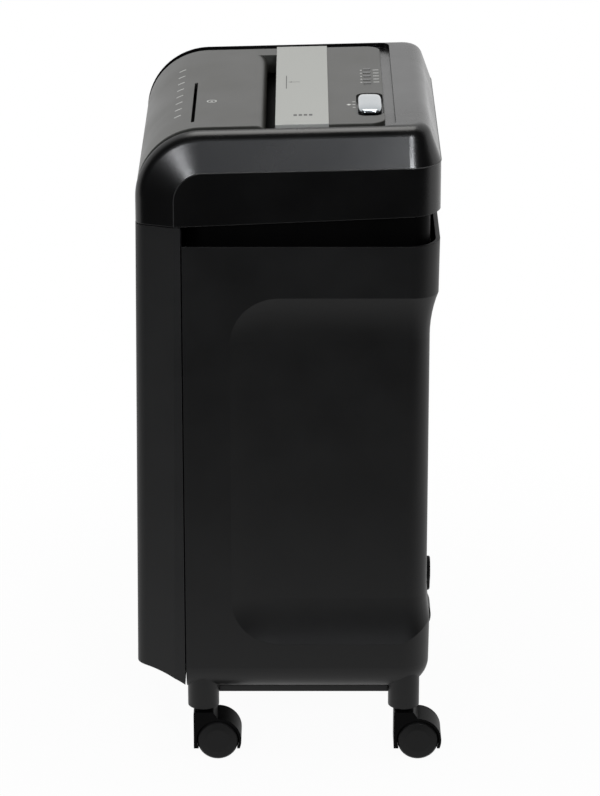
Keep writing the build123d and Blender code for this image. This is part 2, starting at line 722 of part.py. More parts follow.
# Slide switch: a knob in the deck's well, its stem, and the switch body under the cover
with BuildPart() as switch_knob:
    knob_plane = deck_plane(KNOB_Y)
    half = KNOB_LENGTH / 2
    low = SLIDE_GAP - pocket_depth
    section_plane = Plane(origin=knob_plane.origin + Vector(KNOB_X, 0, 0), x_dir=(1, 0, 0), z_dir=-knob_plane.y_dir)
    with BuildSketch(section_plane):
        with BuildLine():
            Spline(
                (-half, KNOB_END_RISE),
                (-KNOB_CREST_X, KNOB_PROUD),
                (0, KNOB_MIDDLE_RISE),
                (KNOB_CREST_X, KNOB_PROUD),
                (half, KNOB_END_RISE),
            )
            Polyline((half, KNOB_END_RISE), (half, low), (-half, low), (-half, KNOB_END_RISE))
        make_face()
    extrude(amount=KNOB_WIDTH / 2, both=True)
    with BuildSketch(deck_plane(KNOB_Y, low)):
        with Locations((KNOB_X, 0)):
            RectangleRounded(KNOB_LENGTH, KNOB_WIDTH, WELL_CORNER_R - WELL_GAP)
    extrude(amount=2 * POCKET_DROP, mode=Mode.INTERSECT)
    with BuildSketch(deck_plane(KNOB_Y, low)):
        with Locations((KNOB_X, 0)):
            Rectangle(STEM_LENGTH, STEM_WIDTH)
    extrude(amount=-SWITCH_HEIGHT)
keep(switch_knob, "switch_knob")

with BuildPart() as switch_body:
    with BuildSketch(deck_plane(KNOB_Y, DECK_DROP - POCKET_DROP - WALL)):
        with Locations((KNOB_X, 0)):
            Rectangle(SWITCH_LENGTH, SWITCH_WIDTH)
    extrude(amount=-SWITCH_HEIGHT)
    with BuildSketch(deck_plane(KNOB_Y, DECK_DROP - POCKET_DROP - WALL)):
        with Locations((KNOB_X, 0)):
            Rectangle(stem_room, STEM_WIDTH + 2 * SLIDE_GAP)
    extrude(amount=-SWITCH_HEIGHT + WALL, mode=Mode.SUBTRACT)
keep(switch_body, "switch_body")

with BuildPart() as paper_sensors:
    with BuildSketch(deck_plane(SENSOR_Y, DECK_DROP - POCKET_DROP - WALL)):
        with Locations([(x, 0) for x in SENSOR_PLACES]):
            Rectangle(SENSOR_SIZE[0], SENSOR_SIZE[1])
    extrude(amount=-SENSOR_SIZE[2])
keep(paper_sensors, "paper_sensors")

# Mains rocker, its frame and the cord gland in the rear wall of the head
rocker_plane = Plane(
    origin=(ROCKER_X, ROCKER_PIVOT_Y, ROCKER_Z),
    x_dir=(0, cos(radians(ROCKER_TILT)), -sin(radians(ROCKER_TILT))),
    z_dir=(1, 0, 0),
)
with BuildPart() as rocker_frame:
    add(
        plain_block(
            ROCKER_X - FRAME_HALF_X,
            ROCKER_X + FRAME_HALF_X,
            REAR_Y - FRAME_DEPTH,
            REAR_Y,
            ROCKER_Z - FRAME_HALF_Z,
            ROCKER_Z + FRAME_HALF_Z,
        )
    )
    room_x = ROCKER_HALF_X + SLIDE_GAP
    add(
        plain_block(
            ROCKER_X - room_x,
            ROCKER_X + room_x,
            REAR_Y - FRAME_DEPTH + WALL,
            REAR_Y,
            ROCKER_Z - FRAME_ROOM_Z,
            ROCKER_Z + FRAME_ROOM_Z,
        ),
        mode=Mode.SUBTRACT,
    )
    pin_end = ROCKER_HALF_X + ROCKER_PIN + SLIDE_GAP
    add(
        rod_x(ROCKER_PIVOT_Y, ROCKER_Z, ROCKER_PIN_R + RUN_GAP, ROCKER_X - pin_end, ROCKER_X + pin_end),
        mode=Mode.SUBTRACT,
    )
keep(rocker_frame, "rocker_frame")

with BuildPart() as mains_rocker:
    with BuildSketch(rocker_plane):
        with BuildLine():
            Polyline(
                (-ROCKER_FRONT, 0),
                (0, -ROCKER_HALF_Z),
                (ROCKER_FRONT, -ROCKER_HALF_Z),
                (ROCKER_FRONT - ROCKER_DIP, 0),
                (ROCKER_FRONT, ROCKER_HALF_Z),
                (0, ROCKER_HALF_Z),
                close=True,
            )
        make_face()
    extrude(amount=ROCKER_HALF_X, both=True)
    pin_reach = ROCKER_HALF_X + ROCKER_PIN
    add(rod_x(ROCKER_PIVOT_Y, ROCKER_Z, ROCKER_PIN_R, ROCKER_X - pin_reach, ROCKER_X + pin_reach))
keep(mains_rocker, "mains_rocker")

with BuildPart() as cord_gland:
    add(rod_y(GLAND_X, ROCKER_Z, GLAND_R, REAR_Y - GLAND_DEPTH, REAR_Y))
    add(rod_y(GLAND_X, ROCKER_Z, GLAND_FLANGE_R, REAR_Y - 2 * WALL, REAR_Y - WALL))
    add(rod_y(GLAND_X, ROCKER_Z, GLAND_BORE_R, REAR_Y - GLAND_DEPTH, REAR_Y), mode=Mode.SUBTRACT)
keep(cord_gland, "cord_gland")

# Interlock switch that feels the bin, behind the front of the tray's skirt
with BuildPart() as interlock_switch:
    add(
        plain_block(
            INTERLOCK_X,
            INTERLOCK_X + INTERLOCK_SIZE[0],
            SKIRT_FRONT_Y + WALL,
            SKIRT_FRONT_Y + WALL + INTERLOCK_SIZE[1],
            INTERLOCK_Z,
            INTERLOCK_Z + INTERLOCK_SIZE[2],
        )
    )
    chamfer(interlock_switch.edges().filter_by(Axis.X).group_by(Axis.Y)[-1], WALL)
keep(interlock_switch, "interlock_switch")

# Control board on four posts, with its parts
board_top_z = BOARD_Z + BOARD_T
with BuildPart() as control_board:
    add(plain_block(BOARD_LOW_X, BOARD_HIGH_X, BOARD_LOW_Y, BOARD_HIGH_Y, BOARD_Z, board_top_z))
    for x, y in board_posts:
        add(rod_z(x, y, SCREW_R + SEAT_GAP, BOARD_Z, board_top_z), mode=Mode.SUBTRACT)
keep(control_board, "control_board")

with BuildPart() as board_screws:
    for x, y in board_posts:
        add(pin_z(x, y, board_top_z, BOARD_T + STANDOFF_R, -1))
keep(board_screws, "board_screws")

with BuildPart() as board_parts:
    middle_y = (BOARD_LOW_Y + BOARD_HIGH_Y) / 2
    for offset, length, width, height in BOARD_BLOCKS:
        low_x = BOARD_LOW_X + offset
        low_y = middle_y - width / 2
        add(plain_block(low_x, low_x + length, low_y, low_y + width, board_top_z, board_top_z + height))
    for offset in CAPACITOR_OFFSETS:
        add(rod_z(BOARD_LOW_X + offset, middle_y, CAPACITOR_R, board_top_z, board_top_z + CAPACITOR_HEIGHT))
keep(board_parts, "board_parts")

# Cutter rollers: hooked discs on an eight-sided core, one roller's discs between the other's
front_roller_y = NIP_Y - ROLLER_SPACING / 2
rear_roller_y = NIP_Y + ROLLER_SPACING / 2
left_outer_x = left_plate_x - PLATE_SIDE_T
right_outer_x = right_plate_x + PLATE_SIDE_T
sync_high_x = left_outer_x - GEAR_GAP
sync_low_x = sync_high_x - GEAR_T
drive_high_x = sync_low_x - GEAR_GAP
drive_low_x = drive_high_x - GEAR_T
motor_gear_high_x = drive_low_x - GEAR_GAP
motor_gear_low_x = motor_gear_high_x - GEAR_T


def disc_points():
    """Outline of one cutter disc: a coarse circle with hooked teeth."""
    points = []
    for i in range(HOOKS):
        start = 360 / HOOKS * i
        for share, radius in HOOK_STEPS:
            angle = radians(start + share * 360 / HOOKS)
            points.append((radius * cos(angle), radius * sin(angle)))
    return points


def add_roller(y, first_x, gear_end_x):
    """Adds one roller, with its discs from first_x and a shaft that ends at gear_end_x."""
    for i in range(DISC_COUNT):
        with BuildSketch(Plane.YZ.offset(first_x + i * CUT_PITCH)) as disc:
            with Locations(Location((y, ROLLER_Z, 0), (0, 0, HOOK_STAGGER * i))):
                Polygon(*disc_points(), align=None)
        extrude(disc.sketch, amount=DISC_T)
    with BuildSketch(Plane.YZ.offset(cutter_low_x)) as core:
        with Locations((y, ROLLER_Z)):
            RegularPolygon(CORE_R, CORE_SIDES)
    extrude(core.sketch, amount=cutter_high_x - cutter_low_x)
    add(rod_x(y, ROLLER_Z, JOURNAL_R, left_outer_x, cutter_low_x))
    add(rod_x(y, ROLLER_Z, JOURNAL_R, cutter_high_x, right_outer_x + SHAFT_PROUD))
    add(rod_x(y, ROLLER_Z, SHAFT_END_R, gear_end_x, left_outer_x))


with BuildPart() as front_roller:
    add_roller(front_roller_y, cutter_low_x, sync_low_x - SEAM)
keep(front_roller, "front_roller")

with BuildPart() as rear_roller:
    add_roller(rear_roller_y, cutter_low_x + CUT_PITCH / 2, drive_low_x - SEAM)
keep(rear_roller, "rear_roller")

# Gears: both rollers are geared one to one, and the motor drives the rear one through two steps
idler_distance = DRIVE_MODULE * (REDUCTION_TEETH + IDLER_SMALL_TEETH) / 2
motor_distance = MOTOR_MODULE * (IDLER_BIG_TEETH + PINION_TEETH) / 2
idler_y = rear_roller_y + idler_distance * cos(radians(IDLER_ANGLE))
idler_z = ROLLER_Z + idler_distance * sin(radians(IDLER_ANGLE))
motor_y = idler_y + motor_distance * cos(radians(MOTOR_ANGLE))
motor_z = idler_z + motor_distance * sin(radians(MOTOR_ANGLE))


def gear_points(teeth, module, turn):
    """Outline of a spur gear with straight flanks and one tooth centred on the angle turn."""
    pitch_r = module * teeth / 2
    root_r = pitch_r - ROOT_DEPTH * module
    tip_r = pitch_r + TIP_HEIGHT * module
    half = TOOTH_SHARE * pi * module / 2
    slope = tan(radians(PRESSURE_ANGLE))
    root_angle = (half + ROOT_DEPTH * module * slope) / root_r
    tip_angle = (half - TIP_HEIGHT * module * slope) / tip_r
    points = []
    for i in range(teeth):
        middle = radians(turn) + 2 * pi * i / teeth
        for radius, offset in ((root_r, -root_angle), (tip_r, -tip_angle), (tip_r, tip_angle), (root_r, root_angle)):
            points.append((radius * cos(middle + offset), radius * sin(middle + offset)))
    return points


def add_gear(y, z, low_x, teeth, module, turn, bore_r):
    """Adds one gear with its bore."""
    with BuildSketch(Plane.YZ.offset(low_x)) as gear:
        with Locations((y, z)):
            Polygon(*gear_points(teeth, module, turn), align=None)
            Circle(bore_r, mode=Mode.SUBTRACT)
    extrude(gear.sketch, amount=GEAR_T)


with BuildPart() as front_sync_gear:
    add_gear(
        front_roller_y, ROLLER_Z, sync_low_x, SYNC_TEETH, DRIVE_MODULE, 180 / SYNC_TEETH, SHAFT_END_R + SEAT_GAP
    )
keep(front_sync_gear, "front_sync_gear")

with BuildPart() as rear_sync_gear:
    add_gear(rear_roller_y, ROLLER_Z, sync_low_x, SYNC_TEETH, DRIVE_MODULE, 180, SHAFT_END_R + SEAT_GAP)
keep(rear_sync_gear, "rear_sync_gear")

with BuildPart() as reduction_gear:
    add_gear(
        rear_roller_y, ROLLER_Z, drive_low_x, REDUCTION_TEETH, DRIVE_MODULE, IDLER_ANGLE, SHAFT_END_R + SEAT_GAP
    )
keep(reduction_gear, "reduction_gear")

with BuildPart() as idler_gear:
    small_turn = IDLER_ANGLE + 180 + 180 / IDLER_SMALL_TEETH
    bore_r = IDLER_PIN_R + RUN_GAP
    add_gear(idler_y, idler_z, drive_low_x, IDLER_SMALL_TEETH, DRIVE_MODULE, small_turn, bore_r)
    add_gear(idler_y, idler_z, motor_gear_low_x, IDLER_BIG_TEETH, MOTOR_MODULE, MOTOR_ANGLE, bore_r)
    with BuildSketch(Plane.YZ.offset(motor_gear_high_x)):
        with Locations((idler_y, idler_z)):
            Circle(IDLER_HUB_R)
            Circle(bore_r, mode=Mode.SUBTRACT)
    extrude(amount=GEAR_GAP)
keep(idler_gear, "idler_gear")

with BuildPart() as idler_pin:
    add(rod_x(idler_y, idler_z, IDLER_PIN_R, motor_gear_low_x - SEAM, left_plate_x))
    add(rod_x(idler_y, idler_z, IDLER_HUB_R, motor_gear_low_x - SEAM - WALL, motor_gear_low_x - SEAM))
    add(rod_x(idler_y, idler_z, IDLER_HUB_R, drive_high_x + SEAM, left_outer_x))
keep(idler_pin, "idler_pin")

with BuildPart() as motor_pinion:
    pinion_turn = MOTOR_ANGLE + 180 + 180 / PINION_TEETH
    add_gear(motor_y, motor_z, motor_gear_low_x, PINION_TEETH, MOTOR_MODULE, pinion_turn, ROTOR_R + SEAT_GAP)
keep(motor_pinion, "motor_pinion")

# Motor: a can bolted to the left side plate, an end cap and the rotor
motor_end_x = left_plate_x + MOTOR_LENGTH
cap_end_x = motor_end_x + MOTOR_CAP_T
motor_screw_places = [(motor_y, motor_z - MOTOR_SCREW_R), (motor_y, motor_z + MOTOR_SCREW_R)]

with BuildPart() as motor_can:
    add(rod_x(motor_y, motor_z, MOTOR_R, left_plate_x, motor_end_x))
    add(rod_x(motor_y, motor_z, MOTOR_R - WALL, left_plate_x + 2 * WALL, motor_end_x), mode=Mode.SUBTRACT)
    add(rod_x(motor_y, motor_z, ROTOR_R + RUN_GAP, left_plate_x, motor_end_x), mode=Mode.SUBTRACT)
    for y, z in motor_screw_places:
        hole_end_x = left_plate_x + 2 * WALL - SEAM
        add(rod_x(y, z, SCREW_R + SEAT_GAP, left_plate_x, hole_end_x), mode=Mode.SUBTRACT)
keep(motor_can, "motor_can")

with BuildPart() as motor_cap:
    add(rod_x(motor_y, motor_z, MOTOR_R, motor_end_x, cap_end_x))
    add(rod_x(motor_y, motor_z, ROTOR_R + RUN_GAP, motor_end_x, cap_end_x), mode=Mode.SUBTRACT)
    for i in range(CAP_SLOTS):
        angle = 2 * pi * i / CAP_SLOTS
        slot_y = motor_y + CAP_SLOT_RADIUS * cos(angle)
        slot_z = motor_z + CAP_SLOT_RADIUS * sin(angle)
        add(rod_x(slot_y, slot_z, CAP_SLOT_R, motor_end_x, cap_end_x), mode=Mode.SUBTRACT)
keep(motor_cap, "motor_cap")

with BuildPart() as motor_rotor:
    add(rod_x(motor_y, motor_z, ROTOR_R, motor_gear_low_x - SEAM, cap_end_x + SHAFT_PROUD))
    add(rod_x(motor_y, motor_z, ARMATURE_R, left_plate_x + MOTOR_CAP_T, motor_end_x - MOTOR_CAP_T))
keep(motor_rotor, "motor_rotor")

with BuildPart() as motor_screws:
    for y, z in motor_screw_places:
        add(rod_x(y, z, SCREW_HEAD_R, left_outer_x - SCREW_HEAD_T, left_outer_x))
        add(rod_x(y, z, SCREW_R, left_outer_x, left_plate_x + WALL))
keep(motor_screws, "motor_screws")

# Side plates that carry the rollers, their bushes and the tie rods between them


def add_side_plate(low_x, rear_y):
    """Adds one upright plate on the tray floor, with its two bush holes."""
    with BuildSketch(Plane.YZ.offset(low_x)) as plate:
        with BuildLine():
            Polyline(
                (SIDE_PLATE_FOOT_Y, tray_floor_top_z),
                (SIDE_PLATE_FOOT_Y, SIDE_PLATE_STEP_Z),
                (SIDE_PLATE_FRONT_Y, SIDE_PLATE_STEP_Z),
                (SIDE_PLATE_FRONT_Y, SIDE_PLATE_TOP_Z),
                (rear_y, SIDE_PLATE_TOP_Z),
                (rear_y, tray_floor_top_z),
                close=True,
            )
        make_face()
        with Locations((front_roller_y, ROLLER_Z), (rear_roller_y, ROLLER_Z)):
            Circle(BUSH_R + SEAT_GAP, mode=Mode.SUBTRACT)
    extrude(plate.sketch, amount=PLATE_SIDE_T)


with BuildPart() as left_side_plate:
    add_side_plate(left_outer_x, MOTOR_PLATE_REAR_Y)
    add(rod_x(idler_y, idler_z, IDLER_PIN_R + SEAT_GAP, left_outer_x, left_plate_x), mode=Mode.SUBTRACT)
    add(rod_x(motor_y, motor_z, 2 * ROTOR_R, left_outer_x, left_plate_x), mode=Mode.SUBTRACT)
    for y, z in motor_screw_places:
        add(rod_x(y, z, SCREW_R + SEAT_GAP, left_outer_x, left_plate_x), mode=Mode.SUBTRACT)
keep(left_side_plate, "left_side_plate")

with BuildPart() as right_side_plate:
    add_side_plate(right_plate_x, SIDE_PLATE_REAR_Y)
keep(right_side_plate, "right_side_plate")

with BuildPart() as bushes:
    for y in (front_roller_y, rear_roller_y):
        add(rod_x(y, ROLLER_Z, BUSH_R, left_outer_x, left_plate_x))
        add(rod_x(y, ROLLER_Z, BUSH_FLANGE_R, left_plate_x, left_plate_x + BUSH_FLANGE_T))
        add(rod_x(y, ROLLER_Z, BUSH_R, right_plate_x, right_outer_x))
        add(rod_x(y, ROLLER_Z, BUSH_FLANGE_R, right_plate_x - BUSH_FLANGE_T, right_plate_x))
        add(rod_x(y, ROLLER_Z, JOURNAL_R + RUN_GAP, left_outer_x, right_outer_x), mode=Mode.SUBTRACT)
keep(bushes, "bushes")

with BuildPart() as tie_rods:
    for y, z in TIE_PLACES:
        add(rod_x(y, z, TIE_R, left_plate_x, right_plate_x))
keep(tie_rods, "tie_rods")

# Stripper combs: a bar with one finger between each two discs
finger_shift = (CUT_PITCH + DISC_T) / 2


def add_comb(first_x, tip_y, direction):
    """Adds a comb whose fingers start at tip_y and point away from the bar, which lies in the direction."""
    finger_end = tip_y + direction * COMB_REACH
    bar_end = finger_end + direction * COMB_BAR
    low_z = ROLLER_Z - COMB_HEIGHT / 2
    high_z = ROLLER_Z + COMB_HEIGHT / 2
    add(plain_block(left_plate_x, right_plate_x, min(finger_end, bar_end), max(finger_end, bar_end), low_z, high_z))
    for i in range(DISC_COUNT):
        middle = first_x + i * CUT_PITCH
        if middle < cutter_high_x:
            add(
                plain_block(
                    middle - COMB_FINGER_T / 2,
                    middle + COMB_FINGER_T / 2,
                    min(tip_y, finger_end),
                    max(tip_y, finger_end),
                    low_z,
                    high_z,
                )
            )


with BuildPart() as front_comb:
    add_comb(cutter_low_x + finger_shift, front_roller_y - CORE_R - SEAM, -1)
keep(front_comb, "front_comb")

with BuildPart() as rear_comb:
    add_comb(cutter_low_x + finger_shift - CUT_PITCH / 2, rear_roller_y + CORE_R + SEAM, 1)
keep(rear_comb, "rear_comb")

# Feed chute: a wedge between the paper path and the disc path, with a wall on either side
paper_gap = THROAT_WIDTH / 4
with BuildPart() as feed_chute:
    with BuildSketch(Plane.YZ.offset(left_plate_x)):
        with BuildLine():
            Polyline(
                (throat_front_y, CHUTE_TOP_Z),
                (NIP_Y - paper_gap, CHUTE_LOW_Z),
                (DISC_SLOT_Y + DISC_SLOT_WIDTH, CHUTE_TOP_Z),
                close=True,
            )
        make_face()
        with BuildLine():
            Polyline(
                (STRIP_FRONT_Y, CHUTE_TOP_Z),
                (NIP_Y + 2 * paper_gap, CHUTE_LOW_Z + WALL),
                (STRIP_FRONT_Y + WALL, CHUTE_TOP_Z - WALL),
                (STRIP_FRONT_Y + WALL, CHUTE_TOP_Z),
                close=True,
            )
        make_face()
        with BuildLine():
            Polyline(
                (DISC_SLOT_Y - DISC_SLOT_WIDTH, CHUTE_TOP_Z),
                (DISC_SLOT_Y - DISC_SLOT_WIDTH - WALL, CHUTE_TOP_Z),
                (front_roller_y - DISC_SLOT_WIDTH - WALL, CHUTE_TOP_Z - CHUTE_FRONT_DROP - WALL),
                (front_roller_y - DISC_SLOT_WIDTH, CHUTE_TOP_Z - CHUTE_FRONT_DROP),
                close=True,
            )
        make_face()
    extrude(amount=right_plate_x - left_plate_x)
    for low_x in (left_plate_x, right_plate_x - CHUTE_END_T):
        add(
            plain_block(
                low_x,
                low_x + CHUTE_END_T,
                DISC_SLOT_Y - DISC_SLOT_WIDTH - WALL,
                STRIP_FRONT_Y + WALL,
                CHUTE_END_LOW_Z,
                CHUTE_TOP_Z,
            )
        )
keep(feed_chute, "feed_chute")

# Bin front: a hollow panel that leans out towards its foot, with slanted corners like those of the head
panel_rear_y = FRONT_Y + FRONT_PANEL_DEPTH
panel_top_z = HEAD_FRONT_Z - SEAM


def panel_front_y(z):
    """Depth of the bin front's outer face at height z."""
    return FRONT_Y - FRONT_LEAN * (panel_top_z - z) / (panel_top_z - PANEL_LOW_FRONT_Z)


panel_lean = atan2(FRONT_LEAN, panel_top_z - PANEL_LOW_FRONT_Z)


def panel_plane(depth):
    """Plane along the bin front's outer face, moved inwards by depth, with its zero at floor level."""
    outwards = (0, -cos(panel_lean), sin(panel_lean))
    face = Plane(origin=(0, panel_front_y(0), 0), x_dir=(1, 0, 0), z_dir=outwards)
    return face.offset(-depth)


def panel_form(inset, rear_y):
    """The bin front as a solid, moved inwards by inset and cut off at rear_y."""
    low_z = PANEL_LOW_FRONT_Z + inset
    high_z = panel_top_z - inset
    front_inset = inset / cos(panel_lean)
    front_low = (panel_front_y(low_z) + front_inset, low_z)
    front_high = (panel_front_y(high_z) + front_inset, high_z)
    rear_low = (rear_y, PANEL_LOW_REAR_Z + inset)
    rear_high = (rear_y, high_z)
    bend = ((FRONT_Y + panel_rear_y) / 2, PANEL_BEND_Z + inset)
    with BuildPart() as form:
        with BuildSketch(Plane.YZ):
            with BuildLine():
                Polyline(front_low, front_high, rear_high, rear_low)
                ThreePointArc(rear_low, bend, front_low)
            make_face()
        extrude(amount=SIDE_X - inset, both=True)
        for end in (0, -1):
            side = form.faces().sort_by(Axis.X)[end]
            corner = side.edges().sort_by(Axis.Y)[0]
            chamfer(corner, length=SHOULDER_DROP - inset, length2=SHOULDER_IN - inset / 2, reference=side)
        fillet(form.faces().sort_by(Axis.Y)[0].edges().filter_by(Axis.X, reverse=True), CREST_R - inset)
    return form.part


def panel_outline(low_z, high_z, width, grow, radius):
    """Adds a rounded rectangle to the open sketch on the front face."""
    with Locations((0, (low_z + high_z) / 2)):
        RectangleRounded(width + 2 * grow, high_z - low_z + 2 * grow, radius)


panel_screw_places = [
    (x, z) for x in (-PANEL_SCREW_X, PANEL_SCREW_X) for z in (PANEL_SCREW_LOW_Z, PANEL_SCREW_HIGH_Z)
]
panel_inner_y = FRONT_Y + WALL
flange_front_y = panel_rear_y - WALL
tub_front_y = panel_rear_y

with BuildPart() as bin_front:
    add(panel_form(0, panel_rear_y))
    add(panel_form(WALL, panel_rear_y + WALL), mode=Mode.SUBTRACT)
    with BuildSketch(panel_plane(WALL)):
        panel_outline(WINDOW_LOW_Z, WINDOW_HIGH_Z, WINDOW_WIDTH, 0, WINDOW_R)
        panel_outline(GRIP_LOW_Z, GRIP_HIGH_Z, GRIP_WIDTH, 0, GRIP_R)
    extrude(amount=2 * WALL, mode=Mode.SUBTRACT)
    for x, z in panel_screw_places:
        add(rod_y(x, z, TRAY_BOSS_R, panel_front_y(z) + WALL / 2, flange_front_y))
        add(rod_y(x, z, SCREW_R + SEAT_GAP, panel_inner_y, flange_front_y), mode=Mode.SUBTRACT)
keep(bin_front, "bin_front")

# Window: a clear tray whose rim reaches back to the tub
with BuildPart() as bin_window:
    with BuildSketch(panel_plane(WALL)):
        panel_outline(WINDOW_LOW_Z, WINDOW_HIGH_Z, WINDOW_WIDTH, WINDOW_LIP, WINDOW_R + WINDOW_LIP)
    extrude(amount=-FRONT_PANEL_DEPTH)
    rim = WINDOW_LIP - WINDOW_T
    with BuildSketch(panel_plane(WALL + WINDOW_T)):
        panel_outline(WINDOW_LOW_Z, WINDOW_HIGH_Z, WINDOW_WIDTH, rim, WINDOW_R + rim)
    extrude(amount=-FRONT_PANEL_DEPTH, mode=Mode.SUBTRACT)
    behind = flange_front_y + FRONT_PANEL_DEPTH
    add(
        plain_block(-WINDOW_WIDTH, WINDOW_WIDTH, flange_front_y, behind, CABINET_BOTTOM_Z, panel_top_z),
        mode=Mode.SUBTRACT,
    )
    with BuildSketch(panel_plane(WALL)):
        panel_outline(WINDOW_LOW_Z, WINDOW_HIGH_Z, WINDOW_WIDTH, -SLIDE_GAP, WINDOW_R - SLIDE_GAP)
    extrude(amount=WALL - SLIDE_GAP)
keep(bin_window, "bin_window")

with BuildPart() as grip_cup:
    with BuildSketch(panel_plane(WALL + GRIP_CUP_DEPTH)):
        panel_outline(GRIP_LOW_Z, GRIP_HIGH_Z + GRIP_RISE, GRIP_WIDTH, WALL, GRIP_R)
    extrude(amount=GRIP_CUP_DEPTH)
    with BuildSketch(panel_plane(GRIP_CUP_DEPTH)):
        panel_outline(GRIP_LOW_Z, GRIP_HIGH_Z + GRIP_RISE, GRIP_WIDTH, 0, GRIP_R - WALL)
    extrude(amount=GRIP_CUP_DEPTH, mode=Mode.SUBTRACT)
keep(grip_cup, "grip_cup")

# Bin tub: an open-topped box with a plate in front that closes the back of the panel
tub_x = cavity_x - TUB_SIDE_GAP
tub_rear_y = cavity_rear_y - TUB_REAR_GAP
tub_floor_z = cavity_floor_z + SLIDE_GAP
with BuildPart() as tub_form:
    add(rounded_block(-tub_x, tub_x, tub_front_y, tub_rear_y, tub_floor_z, TUB_RIM_Z, TUB_R))
    fillet(tub_form.faces().sort_by(Axis.Z)[0].edges(), TUB_FLOOR_R)

with BuildPart() as tub_room:
    add(
        rounded_block(
            -tub_x + TUB_WALL,
            tub_x - TUB_WALL,
            tub_front_y + TUB_WALL,
            tub_rear_y - TUB_WALL,
            tub_floor_z + TUB_FLOOR_T,
            RIM_Z,
            TUB_R - TUB_WALL,
        )
    )
    fillet(tub_room.faces().sort_by(Axis.Z)[0].edges(), TUB_FLOOR_R - TUB_WALL)

with BuildPart() as bin_tub:
    add(tub_form.part)
    flange_x = SIDE_X - WALL - FIT
    add(
        plain_block(
            -flange_x,
            flange_x,
            flange_front_y,
            tub_front_y,
            PANEL_LOW_REAR_Z + FLANGE_FOOT,
            panel_top_z - WALL - FIT,
        )
    )
    add(tub_room.part, mode=Mode.SUBTRACT)
    with BuildSketch(Plane.XZ.offset(-tub_front_y - TUB_WALL)):
        panel_outline(WINDOW_LOW_Z, WINDOW_HIGH_Z, WINDOW_WIDTH, 0, WINDOW_R)
    extrude(amount=TUB_WALL + 2 * WALL, mode=Mode.SUBTRACT)
    for x, z in panel_screw_places:
        add(rod_y(x, z, SCREW_R + SEAT_GAP, flange_front_y, tub_front_y + TUB_WALL), mode=Mode.SUBTRACT)
keep(bin_tub, "bin_tub")

with BuildPart() as bin_screws:
    for x, z in panel_screw_places:
        add(rod_y(x, z, SCREW_HEAD_R, tub_front_y + TUB_WALL, tub_front_y + TUB_WALL + SCREW_HEAD_T))
        add(rod_y(x, z, SCREW_R, tub_front_y + TUB_WALL - PANEL_SCREW_LENGTH, tub_front_y + TUB_WALL))
keep(bin_screws, "bin_screws")

# Castors: a hood that swivels on its stem, with a pair of wheels on one axle behind it
hood_inner_r = WHEEL_R + HOOD_GAP
hood_outer_r = hood_inner_r + HOOD_T
wheel_inner = WEB_HALF + WHEEL_GAP
wheel_outer = wheel_inner + WHEEL_WIDTH


def add_hood(x, y):
    """Adds one castor hood: an arch over both wheels, a web between them and a block for the stem."""
    axle_y = y + CASTOR_TRAIL
    with BuildSketch(Plane.YZ.offset(x)) as hood_side:
        with Locations((axle_y, WHEEL_R)):
            Circle(hood_outer_r)
        with BuildLine():
            Polyline(
                (y - HOOD_FRONT, HOOD_LOW_Z),
                (y - HOOD_FRONT, HOOD_TOP_Z),
                (y + HOOD_FRONT, HOOD_TOP_Z),
                (axle_y, WHEEL_R + hood_outer_r),
                (axle_y, HOOD_LOW_Z),
                close=True,
            )
        make_face()
        with Locations((axle_y, HOOD_LOW_Z - hood_outer_r)):
            Rectangle(4 * hood_outer_r, 2 * hood_outer_r, mode=Mode.SUBTRACT)
    extrude(hood_side.sketch, amount=HOOD_HALF, both=True)
    add(rod_x(axle_y, WHEEL_R, hood_inner_r, x + WEB_HALF, x + 2 * HOOD_HALF), mode=Mode.SUBTRACT)
    add(rod_x(axle_y, WHEEL_R, hood_inner_r, x - 2 * HOOD_HALF, x - WEB_HALF), mode=Mode.SUBTRACT)
    add(rod_x(axle_y, WHEEL_R, AXLE_R + RUN_GAP, x - WEB_HALF, x + WEB_HALF), mode=Mode.SUBTRACT)
    add(rod_z(x, y, STEM_R + SEAT_GAP, STEM_LOW_Z, HOOD_TOP_Z), mode=Mode.SUBTRACT)


def add_wheel(x, y, side):
    """Adds one wheel of a pair, on the given side of the castor."""
    wheel_plane = Plane(origin=(x, y + CASTOR_TRAIL, WHEEL_R), x_dir=(0, 0, 1), z_dir=(0, side, 0))
    with BuildSketch(wheel_plane) as wheel:
        with BuildLine():
            Polyline(
                (AXLE_R + SEAT_GAP, wheel_inner),
                (WHEEL_R, wheel_inner),
                (WHEEL_R, wheel_outer - WHEEL_EDGE),
                (WHEEL_R - WHEEL_EDGE, wheel_outer),
                (HUB_R, wheel_outer + HUB_RISE),
                (0, wheel_outer + HUB_RISE),
                (0, wheel_outer - WHEEL_EDGE),
                (AXLE_R + SEAT_GAP, wheel_outer - WHEEL_EDGE),
                close=True,
            )
        make_face()
    axle_line = Axis((x, y + CASTOR_TRAIL, WHEEL_R), (1, 0, 0))
    revolve(wheel.sketch, axis=axle_line)


